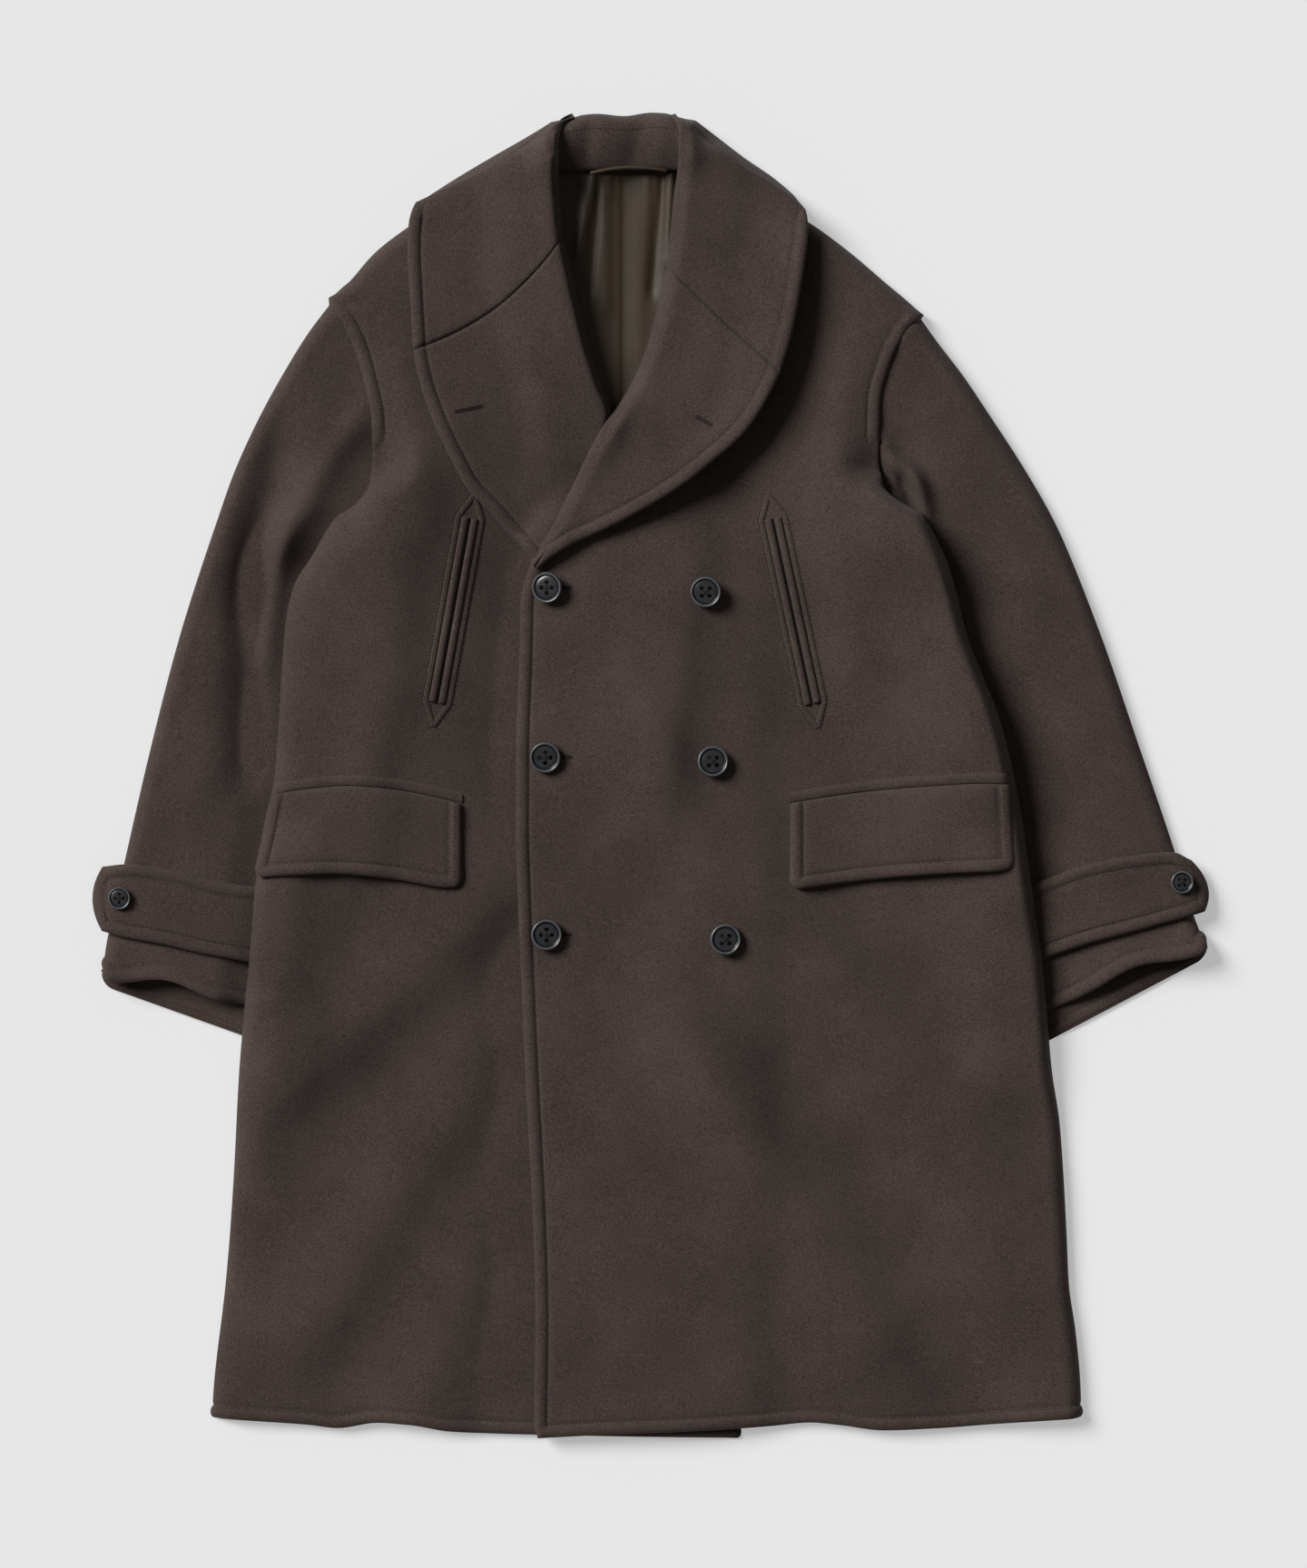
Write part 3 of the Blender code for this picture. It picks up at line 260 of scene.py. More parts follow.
EASE_LEAST = 0.1        # least share of the roll there
BEAD_PAST = 4           # rows past the corner where the turned edge's relief ends
BEAD_LEAST = 0.05       # least share of that relief there, and on a narrow lapel
LAPEL_LEAST = 0.3
LAPEL_SEWN = 20         # rows at the lapel's tip that its stitches leave out
LAPEL_FULL = 25.0       # width from which the lapel's turned edge has its full relief
COLLAR_ROWS = 90
COLLAR_SPANS = 40

# Neck: x, y of the collar's top fold; stand, hidden fall and lining
NECK_TOP = ((-96, 562), (-88, 570), (-80, 575), (-70, 579), (-60, 582), (-48, 583), (-24, 581), (0, 584), (12, 583.5),
            (20, 581), (30, 573), (38, 560))
NECK_SEAM_Y = 531.0
STAND_ENDS = (-88.0, 30.0)
STAND_DEPTH = 50.0
STAND_RISE = (1.0, 19.0)    # over the fall, at the neck seam and at the fold
STAND_BEND = 1.5            # how the rise runs out towards the neck seam
STAND_END_RISE = 3.0        # more at the ends, where it turns into the collar's wings
STAND_END_BEND = 5
STAND_SPANS = 24
STAND_COLUMNS = 60
STAND_FOLDS = ((-56, 548, -52, 580, 9, 7, -2.4), (-14, 550, -8, 580, 10, 8, -2.0), (8, 540, 12, 575, 10, 9, 1.2))
STAND_STITCH = 14.0         # below the fold
STAND_SEWN = (-78.0, 22.0)  # between the wings
FALL_INSET = 9.0           # from the collar's top fold
FALL_FOOT = 4.0            # above the neck seam
FALL_ENDS = (-84.0, 27.0)
FALL_ROWS = 10
FALL_COLUMNS = 20
LINING_TOP = 542.0
LINING_FOOT = 312.0
LINING_ROWS = 120
LINING_COLUMNS = 121
LINING_TUCK = 17.0
LINING_PLEAT_X = -27.0
PLEAT_STEP = 1.4
PLEAT_SOFT = 0.9
# y of the top, x, width, height, length: gathers of the lining below the neck seam
LINING_FOLDS = (
    (530, -60, 6, 2.6, 90), (530, -51, 4, 2.2, 60), (530, -44, 3, 1.6, 44), (530, -36, 3, 0.8, 30),
    (530, -2, 4, 0.8, 60), (530, 6, 4, 2.0, 90), (530, 13, 4, 2.2, 70), (530, 19, 3, 1.6, 50),
)
# Drapes of the lining below its gathers: from (x, y) up to (x, y), widths, height
LINING_DRAPES = (
    (-64, 462, -50, 526, 5, 5, 2.6), (-54, 430, -45, 526, 5, 4, -2.4), (-40, 420, -41, 526, 8, 6, 1.6),
    (1, 430, 10, 526, 5, 5, -2.4), (15, 455, 17, 526, 5, 4, 2.6), (-12, 380, -5, 520, 14, 10, 2.0),
)
LINING_HOLLOW = 7.0        # how far its sides rise from the pleat
LOOP_ENDS = ((-54.0, 529.0), (14.0, 531.0))
LOOP_WIDTH = 3.4
LOOP_BOW = 4.0
LOOP_ARCH = 2.0
LOOP_ROWS = 48
LOOP_COLUMNS = 9

# Chest pockets: x, y of the slit's ends; two lips along it inside a stitched frame with pointed ends
CHEST_SLITS = {"right": (-159, 226, -188, 64), "left": (107, 226, 142, 63)}
LIP_WIDTH = 7.0
LIP_GAP = 1.6
LIP_ROWS = 80
# A dark thread strip along the slit between the lips: painted shade of the pocket's opening.
SLIT_AT = (-0.8, 0.0, 0.8)
SLIT_UP = (0.25, 0.05, 0.25)
LIP_ACROSS = (0.0, 0.06, 0.16, 0.32, 0.5, 0.68, 0.84, 0.94, 1.0)
LIP_UP = (0.2, 1.4, 2.2, 2.7, 2.8, 2.6, 2.0, 1.0, -0.3)
FRAME_HALF = 10.4          # from the slit to the middle of the frame's band
FRAME_WIDTH = 5.6
FRAME_POINT = 21.0         # how far the frame's points stand past the slit's ends
FRAME_UP = 1.3
FRAME_COLUMNS = 9
FRAME_SINK = 0.25          # how deep the band's edges lie in the front
FRAME_STITCH = (0.4, 0.1)  # stitches outside the band, and their height

# Flap pockets: x and y along the seam, then the flap's depth there
FLAP = {
    "right": ((-334, -17, 74), (-305, -12, 76), (-267, -9, 78), (-228, -12, 79), (-190, -19, 79), (-166, -25, 74)),
    "left": ((122, -24, 77), (160, -18, 78), (200, -13, 78), (250, -9, 78), (290, -7, 78), (315, -8, 74)),
}
FLAP_SKEW = {"right": -15.0, "left": 4.0}   # how far the outer lower corner stands out past the upper one
FLAP_LENGTH = 184.0
FLAP_DEPTH = 78.0
FLAP_SPANS = (44, 16)    # along and down
FLAP_SEWN = 4           # rows at the seam that the end stitches leave out
FLAP_RISE = 2.0
FLAP_DROOP = 6.0        # at its outer end
FLAP_INNER = 2.5        # at its inner end
FLAP_BEND = 6
FLAP_CORNER = 10.0      # radius of the lower corners
JET_WIDTH = 9.0
JET_SPAN = 0.97         # of the flap's length, from its inner end
JET_ACROSS = (1.0, 0.94, 0.84, 0.68, 0.5, 0.3, 0.12, 0.04, 0.0)
JET_UP = (0.0, 0.6, 1.1, 1.5, 1.6, 1.5, 1.1, 0.7, 0.3)

# Cuff tabs: top x, top y, bottom x, bottom y along the tab from its buttoned end
TAB = {
    "right": ((-484, -80, -484, -137), (-462, -78, -462, -143), (-416, -84, -425, -150), (-388, -92, -400, -156),
              (-358, -97, -368, -162), (-340, -100, -350, -166)),
    "left": ((476, -74, 488, -120), (456, -67, 463, -127), (413, -72, 420, -139), (377, -80, 386, -148),
             (350, -90, 359, -157), (330, -97, 340, -164)),
}
TAB_DEPTH = 60.0
TAB_END_BOW = 9.0
TAB_END_BEND = 6
TAB_ROWS = 70
TAB_CROWD = 1.3
TAB_SPANS = 14
TAB_RISE = 0.5

# Buttons: x, y, diameter, tilt about X and Y in degrees
BUTTONS = (
    ("front_button_right_top", -91, 165, 27.5, 2, -14),
    ("front_button_right_middle", -93, 16, 27.5, 7, -3),
    ("front_button_right_bottom", -92, -140, 27.5, 2, 2),
    ("front_button_left_top", 48, 161, 27.5, 3, -4),
    ("front_button_left_middle", 54, 12, 27.5, -4, 3),
    ("front_button_left_bottom", 65, -144, 27.5, 2, 3),
    ("cuff_button_right", -467, -108, 20.0, 0, -4),
    ("cuff_button_left", 466, -94, 20.0, 0, 4),
)
# share of the radius, share of the thickness: from the middle of the back, round the rim, to the dished face
BUTTON_PROFILE = ((0.0, 0.0), (0.80, 0.0), (0.93, 0.12), (1.0, 0.42), (0.985, 0.74), (0.95, 0.93), (0.905, 1.0),
                  (0.86, 0.97), (0.82, 0.84), (0.79, 0.66), (0.745, 0.58), (0.69, 0.63), (0.55, 0.68), (0.3, 0.71),
                  (0.0, 0.72))
# The rim and the face are painted lighter than the horn: painted highlight and painted reflection.
BUTTON_RIM = (0.81, 0.7)   # the pale rim lies outside this share of the radius, above this share of the thickness
BUTTON_FACE = 0.68         # the face lies inside this share, with a dark groove round it
BUTTON_SIDES = 64
BUTTON_THICKNESS = 0.17
BUTTON_SHANK = 0.8
HOLE_OUT = 0.17         # of the diameter, from the middle to each of the four holes
HOLE_WIDE = 0.14        # of the diameter
THREAD_UP = 0.76        # of the thickness, the height of the crossed thread
STRAND = (0.9, 0.7)     # half the width and height of a strand
SHANK_RADIUS = 2.2
BUTTON_RING = 24        # points round a button where the cloth under it is read
BUTTON_CREASE = 40.0    # angle in degrees from which an edge of a button is sharp

# Worked buttonholes: sheet, x, y, x, y; places across one and heights there
BUTTONHOLES = (
    ("lapel_right", -172, 319, -148, 324), ("lapel_left", 39, 315, 53, 307),
    ("front_left", -84, 165, -70, 165), ("front_left", -86, 16, -70, 16), ("front_left", -85, -140, -70, -140),
)
BUTTONHOLE_AT = (-1.8, -1.3, -0.8, -0.35, 0.0, 0.35, 0.8, 1.3, 1.8)
BUTTONHOLE_UP = (-0.2, 0.5, 0.8, 0.5, -0.5, 0.5, 0.8, 0.5, -0.2)
BUTTONHOLE_STEP = 1.0

# Flat cut of each sheet that shows: width, length
CUTS = {
    "front": (0.52, 1.16), "back": (0.80, 1.12), "sleeve_top": (0.30, 0.70), "sleeve_under": (0.30, 0.70),
    "cuff_tab": (0.075, 0.18), "lapel": (0.20, 0.33), "collar": (0.17, 0.26), "collar_stand": (0.12, 0.075),
    "collar_fall": (0.115, 0.05), "back_lining": (0.16, 0.24), "flap": (0.21, 0.10), "flap_jet": (0.21, 0.02),
    "chest_welt": (0.012, 0.175), "hanger_loop": (0.01, 0.08),
}


def curve(table, key, value):
    """A smooth function through two columns of a table that never overshoots its points."""
    order = sorted(table, key=lambda row: row[key])
    x = np.array([row[key] for row in order], float)
    y = np.array([row[value] for row in order], float)
    step = np.diff(x)
    slope = np.diff(y) / step
    tangent = np.concatenate(([slope[0]], np.zeros(len(x) - 2), [slope[-1]]))
    same_way = slope[:-1] * slope[1:] > 0
    with np.errstate(divide="ignore", invalid="ignore"):
        tangent[1:-1] = np.where(same_way, 2 * slope[:-1] * slope[1:] / (slope[:-1] + slope[1:]), 0.0)

    def at(points):
        points = np.clip(np.asarray(points, float), x[0], x[-1])
        i = np.clip(np.searchsorted(x, points, side="right") - 1, 0, len(step) - 1)
        t = (points - x[i]) / step[i]
        start = (1 + 2 * t) * (1 - t) ** 2 * y[i] + t * (1 - t) ** 2 * step[i] * tangent[i]
        end = t * t * (3 - 2 * t) * y[i + 1] - t * t * (1 - t) * step[i] * tangent[i + 1]
        return start + end

    return at


def columns_of(table):
    """Every column of a table as a smooth function of the share of the way down its rows."""
    rows = [(i / (len(table) - 1), *row) for i, row in enumerate(table)]
    return [curve(rows, 0, k) for k in range(1, len(rows[0]))]


def roll_steps(width):
    """Distances from a rolled edge whose points lie evenly round its quarter turn."""
    return [width * (1 - math.cos(math.radians(a))) for a in range(0, 91, 10)]


def stations(length, first, last, spans):
    """Shares of the way along a line: near steps from each end, in millimetres, and even spans between."""
    squeeze = min(1.0, length / (first[-1] + last[-1] + LEAST_MIDDLE))
    start = [d * squeeze for d in first]
    finish = [length - d * squeeze for d in reversed(last)]
    middle = np.linspace(start[-1], finish[0], spans + 1)[1:-1]
    return np.concatenate((start, middle, finish)) / length


def distance(x, y, line):
    """Distance in plan from each point to a line through a list of points."""
    best = np.full(x.shape, 1e9)
    for (ax, ay), (bx, by) in zip(line[:-1], line[1:]):
        ux, uy = bx - ax, by - ay
        t = np.clip(((x - ax) * ux + (y - ay) * uy) / max(ux * ux + uy * uy, 1e-9), 0, 1)
        best = np.minimum(best, (x - ax - t * ux) ** 2 + (y - ay - t * uy) ** 2)
    return np.sqrt(best)


def folds(x, y, table):
    """Height of soft folds: ridges with a gentle and a steep side that fade out past their ends."""
    total = np.zeros(x.shape)
    for x0, y0, x1, y1, left, right, height in table:
        ux, uy = x1 - x0, y1 - y0
        length = math.hypot(ux, uy)
        along = ((x - x0) * ux + (y - y0) * uy) / length
        beyond = np.maximum(np.maximum(-along, along - length), 0) / (left + right)
        across = (ux * (y - y0) - uy * (x - x0)) / length
        total += height * np.exp(-(across / np.where(across > 0, left, right)) ** 2 - beyond ** 2)
    return total


def waviness(x, y):
    """Slight unevenness of the whole cloth."""
    total = np.zeros(x.shape)
    for degrees, length, phase, height in WAVES:
        a = math.radians(degrees)
        along = x * math.cos(a) + y * math.sin(a)
        across = y * math.cos(a) - x * math.sin(a)
        total += height * np.sin(2 * np.pi * along / length + phase + np.sin(across / length * 3.7 + phase))
    return total


def side(x, y, which):
    """One side of a grid as a list of points: first or last row, first or last column."""
    pick = {"top": np.s_[0, :], "bottom": np.s_[-1, :], "start": np.s_[:, 0], "end": np.s_[:, -1]}[which]
    return list(zip(x[pick], y[pick]))


def between(*grids):
    """Values at fine points between the corners of every quad of each grid."""
    v, u = np.meshgrid(np.linspace(0, 1, FINE), np.linspace(0, 1, FINE), indexing="ij")
    found = []
    for f in grids:
        a, b, c, d = (corner[:, :, None, None] for corner in (f[:-1, :-1], f[:-1, 1:], f[1:, :-1], f[1:, 1:]))
        found.append((1 - v) * ((1 - u) * a + u * b) + v * ((1 - u) * c + u * d))
    return found


class Pile:
    """Heights of the cloth laid so far, on a grid of cells."""

    def __init__(self):
        self.x = np.arange(-SPREAD_X, SPREAD_X + CELL, CELL)
        self.y = np.arange(-SPREAD_Y, SPREAD_Y + CELL, CELL)
        self.top = np.zeros((len(self.y), len(self.x)))

    def cells(self, px, py):
        """Rows and columns of the cells that hold these points."""
        rows = np.clip(np.rint((py - self.y[0]) / CELL).astype(int), 0, len(self.y) - 1)
        cols = np.clip(np.rint((px - self.x[0]) / CELL).astype(int), 0, len(self.x) - 1)
        return rows, cols

    def sample(self, field, x, y):
        """Height of a field of cells at points, blended between cells."""
        fx = np.clip((x - self.x[0]) / CELL, 0, len(self.x) - 1.001)
        fy = np.clip((y - self.y[0]) / CELL, 0, len(self.y) - 1.001)
        i, j = fy.astype(int), fx.astype(int)
        v, u = fy - i, fx - j
        low = field[i, j] * (1 - u) + field[i, j + 1] * u
        high = field[i + 1, j] * (1 - u) + field[i + 1, j + 1] * u
        return low * (1 - v) + high * v

    def rest(self, x, y, bridge, cap):
        """Heights of the pile for cloth laid on it: close under its edges, and bridging the steps over so many cells
        but no higher than the cap."""
        def spread(field, pick, times):
            for _ in range(times):
                padded = np.pad(field, 1, mode="edge")
                rows, cols = field.shape
                field = pick([padded[a:a + rows, b:b + cols] for a in range(3) for b in range(3)], axis=0)
            return field

        field = np.zeros(self.top.shape)
        cells = self.cells(*between(x, y))
        field[cells] = self.top[cells] if cap is None else np.minimum(self.top[cells], between(cap)[0])
        bridged = spread(spread(field, np.max, bridge), np.mean, 2 * bridge)
        return spread(self.top, np.mean, 1), bridged

    def add(self, points):
        """Raises the cells under a grid of points to the height of its surface."""
        px, py, pz = between(*np.moveaxis(points, 2, 0))
        np.maximum.at(self.top, self.cells(px, py), pz)


pile = Pile()
trees = {}


def normals(points):
    """Upward unit normals of a grid of points."""
    n = np.cross(np.gradient(points, axis=1), np.gradient(points, axis=0))
    n /= np.maximum(np.linalg.norm(n, axis=2, keepdims=True), 1e-9)
    return n * np.where(n[..., 2:] < 0, -1.0, 1.0)


def lay(x, y, thick=WOOL, loft=0.0, gap=SEAM, rolled=(), roll=ROLL, turned=(), seamed=(), creased=(), bridge=BRIDGE,
        met=None, cap=None, squeeze=1.0):
    """Points of one piece of cloth laid on the pile, which lifts it no higher than the cap.

    Rolled edges go down to what is under them. Turned edges are topstitched, seamed edges dip to the sewing line and
    creased lines a little less, all squeezed by a share where there is little room. Where the cloth meets another it
    is drawn to that height, which is given with the share of the way that each point goes.
    """
    below, bridged = pile.rest(x, y, bridge, cap)

    def clear(field, room):
        height = pile.sample(field, x, y)
        return height + room * np.clip(height, 0, 1)

    top = clear(bridged, gap) + loft + thick
    if met:
        top = top + met[1] * (met[0] - top)
    if rolled:
        foot = clear(below, SEAM)
        left = np.clip(1 - np.min([distance(x, y, line) for line in rolled], axis=0) / roll, 0, 1)
        top = foot + (top - foot) * np.sqrt(1 - left ** 2)
    points = np.stack((x, y, top), axis=2)
    up = normals(points)
    for lines, at, height in ((turned, TURN_AT, TURN_UP), (seamed, SEAM_AT, SEAM_UP), (creased, CREASE_AT, CREASE_UP)):
        if lines:
            edge = np.min([distance(x, y, line) for line in lines], axis=0)
            points = points + (np.sqrt(squeeze) * np.interp(edge / squeeze, at, height))[..., None] * up
    points[..., 2] = np.maximum(points[..., 2], thick)
    pile.add(points)
    return points


def grid_mesh(name, points):
    """A mesh of a grid whose points are moved to these places, in millimetres, facing up."""
    turn = np.cross(points[0, -1] - points[0, 0], points[-1, 0] - points[0, 0])[2]
    if turn < 0:
        points = points[:, ::-1]
    rows, cols = points.shape[:2]
    mesh = bmesh.new()
    bmesh.ops.create_grid(mesh, x_segments=cols - 1, y_segments=rows - 1, size=1.0)
    data = bpy.data.meshes.new(name)
    mesh.to_mesh(data)
    mesh.free()
    data.vertices.foreach_set("co", (points * MM).ravel())
    data.update()
    data.shade_smooth()
    return data


def piece(name, data, material):
    """A finished piece that rides with the coat."""
    made = bpy.data.objects.new(name, data)
    bpy.context.scene.collection.objects.link(made)
    data.materials.append(material)
    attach(made, "root")
    return made


def cloth(node, points, cut, thick=WOOL, material=None):
    """The sheet that stands for a node, with its thickness under the laid points; the area that its flat cut allows is
    worked out but not kept.
    """
    made = piece(f"{node}_cloth", grid_mesh(f"{node}_cloth", points), material or MELTON)
    wall = made.modifiers.new("wall", "SOLIDIFY")
    wall.thickness = thick * MM
    wall.offset = -1.0
    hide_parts(node)
    a, b, c, d = points[:-1, :-1], points[:-1, 1:], points[1:, 1:], points[1:, :-1]
    area = np.linalg.norm(np.cross(c - a, d - b), axis=2).sum() / 2 * MM * MM
    width, length = cut
    area = float(np.clip(area, LEAST_AREA * width * length, width * length))
    rows, cols = points.shape[:2]
    start = np.arange(rows * cols).reshape(rows, cols)
    quads = np.stack((start[:-1, :-1], start[:-1, 1:], start[1:, 1:], start[1:, :-1]), axis=2).reshape(-1, 4)
    trees[node] = BVHTree.FromPolygons(points.reshape(-1, 3).tolist(), quads.tolist())
    return made


def on(node, x, y):
    """Height of a laid sheet at points of the plan."""
    found = np.zeros(np.shape(x))
    for k, (px, py) in enumerate(zip(np.ravel(x), np.ravel(y))):
        hit = trees[node].ray_cast(Vector((px, py, ABOVE)), Vector((0, 0, -1)))[0]
        found.flat[k] = hit.z if hit else 0.0
    return found


def evenly(line, step):
    """Points at even steps along a line, and the unit direction at each."""
    line = np.asarray(line, float)
    run = np.concatenate(([0.0], np.cumsum(np.linalg.norm(np.diff(line, axis=0), axis=1))))
    count = max(2, int(round(run[-1] / step)) + 1)
    at = np.linspace(0, run[-1], count)
    points = np.stack([np.interp(at, run, line[:, k]) for k in range(line.shape[1])], axis=1)
    way = np.gradient(points, axis=0)
    return points, way / np.maximum(np.linalg.norm(way, axis=1, keepdims=True), 1e-9)


def strip(node, line, across, up, step=2.5):
    """Points of a narrow raised band along a line on a sheet: places across it and heights over the sheet."""
    middle, way = evenly(line, step)
    x = middle[:, :1] - way[:, 1:] * np.asarray(across)
    y = middle[:, 1:] + way[:, :1] * np.asarray(across)
    return np.stack((x, y, on(node, x, y) + np.asarray(up)), axis=2)


def linear(code):
    """Linear colour of an sRGB hex code."""
    channels = [int(code[k:k + 2], 16) / 255 for k in (0, 2, 4)]
    return (*[c / 12.92 if c <= 0.04045 else ((c + 0.055) / 1.055) ** 2.4 for c in channels], 1.0)


def shade(tree, kind, settings=None, values=None, links=None):
    """Adds a shader node with its settings, the values of its sockets and the links into them."""
    made = tree.nodes.new(kind)
    for name, value in (settings or {}).items():
        setattr(made, name, value)
    for name, value in (values or {}).items():
        made.inputs[name].default_value = value
    for name, source in (links or {}).items():
        tree.links.new(source, made.inputs[name])
    return made


def speckled(name, dark, light, grain, cloud, mix, roughness, gloss, sheen, relief):
    """A material whose colour wanders between two tones in grains and wider clouds, sized in millimetres."""
    made = bpy.data.materials.new(name)
    made.use_nodes = True
    tree = made.node_tree
    shader = tree.nodes["Principled BSDF"]
    place = shade(tree, "ShaderNodeTexCoord").outputs["Object"]
    fine, wide = (
        shade(tree, "ShaderNodeTexNoise", values={"Scale": 1 / (size * MM), "Detail": 3.0, "Roughness": 0.6},
              links={"Vector": place}).outputs["Fac"] for size in (grain, cloud))
    both = shade(tree, "ShaderNodeMix", values={"Factor": mix}, links={"A": fine, "B": wide}).outputs[0]
    tone = shade(tree, "ShaderNodeMapRange", values={"From Min": 0.32, "From Max": 0.68}, links={"Value": both})
    colour = shade(tree, "ShaderNodeMix", {"data_type": "RGBA"}, {6: linear(dark), 7: linear(light)},
                   {0: tone.outputs[0]})
    tree.links.new(colour.outputs[2], shader.inputs["Base Color"])
    bump = shade(tree, "ShaderNodeBump", values={"Strength": 0.6, "Distance": relief * MM}, links={"Height": fine})
    tree.links.new(bump.outputs["Normal"], shader.inputs["Normal"])
    shader.inputs["Roughness"].default_value = roughness
    shader.inputs["Specular IOR Level"].default_value = gloss
    shader.inputs["Sheen Weight"].default_value = sheen
    shader.inputs["Sheen Roughness"].default_value = 0.5
    return made


# Woollen cloth, fulled and brushed: dull all over, with hairs of two browns that the eye takes for a heather. The
# grain is drawn coarser than single hairs so that it shows.
MELTON = speckled("melton_wool_fulled", "2B2220", "4E433E", 1.5, 70.0, 0.27, 0.95, 0.15, 0.06, 0.5)
# Woven satin: the same browns with a soft shine along its gathers
SATIN_LINING = speckled("satin_lining_woven", "2B2218", "3E3225", 0.9, 40.0, 0.4, 0.55, 0.3, 0.0, 0.08)
# Polished horn: near black and glossy, with faint paler clouds
HORN = speckled("horn_turned_polished", "0B0C0F", "15161A", 2.0, 9.0, 0.7, 0.3, 0.5, 0.0, 0.0)
# The same horn painted paler on the rim and grey on the face: painted highlight and painted reflection of the soft
# light, which the glossy horn shows there
HORN_RIM_HIGHLIGHT = speckled("horn_rim_painted_highlight", "3A3B3D", "58595B", 1.2, 6.0, 0.5, 0.3, 0.5, 0.0, 0.0)
HORN_FACE_REFLECTION = speckled("horn_face_painted_reflection", "1B1D1F", "303336", 1.6, 8.0, 0.6, 0.22, 0.5, 0.0, 0.0)
# Twisted thread: a shade darker than the wool, with no shine
THREAD = speckled("sewing_thread_twisted", "1B1614", "2C2523", 0.6, 20.0, 0.2, 0.8, 0.15, 0.0, 0.1)


def sections(table, rows, first, last, spans):
    """Grid through a table of sections from an outer to an inner end with a sideways bow, and the shares of
    the way along the middle section."""
    ox, oy, ix, iy, bow = columns_of(table)[:5]
    x, y, share = [], [], []
    for v in rows:
        ends = np.array([ox(v), oy(v), ix(v), iy(v)])
        across = ends[2:] - ends[:2]
        length = np.hypot(*across)
        u = stations(length, first, last, spans)
        lean = np.array([-across[1], across[0]]) / length
        arch = 4 * u * (1 - u) * bow(v)
        x.append(ends[0] + u * across[0] + arch * lean[0])
        y.append(ends[1] + u * across[1] + arch * lean[1])
        share.append(u)
    return np.array(x), np.array(y), np.array(share)


def sew(node, lines, pitch=3.6, length=2.7, width=0.62):
    """Topstitches that follow lines of points on a sheet, as one piece."""
    mesh = bmesh.new()
    for line in lines:
        middle, way = evenly(line, pitch)
        for place, along in zip(middle, way):
            x_axis = Vector(along)
            y_axis = Vector((0, 0, 1)).cross(x_axis).normalized()
            frame_of = Matrix((x_axis * length / 2, y_axis * width / 2, x_axis.cross(y_axis) * width / 2))
            turn = Matrix.Translation(Vector(place) * MM) @ (frame_of.transposed() * MM).to_4x4()
            bmesh.ops.create_uvsphere(mesh, u_segments=6, v_segments=4, radius=1.0, matrix=turn)
    data = bpy.data.meshes.new(f"{node}_topstitch")
    mesh.to_mesh(data)
    mesh.free()
    data.shade_smooth()
    return piece(f"{node}_topstitch", data, THREAD)


def band(name, points, material=None):
    """A raised band of worked cloth or thread on a sheet."""
    return piece(name, grid_mesh(name, points), material or MELTON)


STITCH = TURN_AT.index(STITCH_AT)


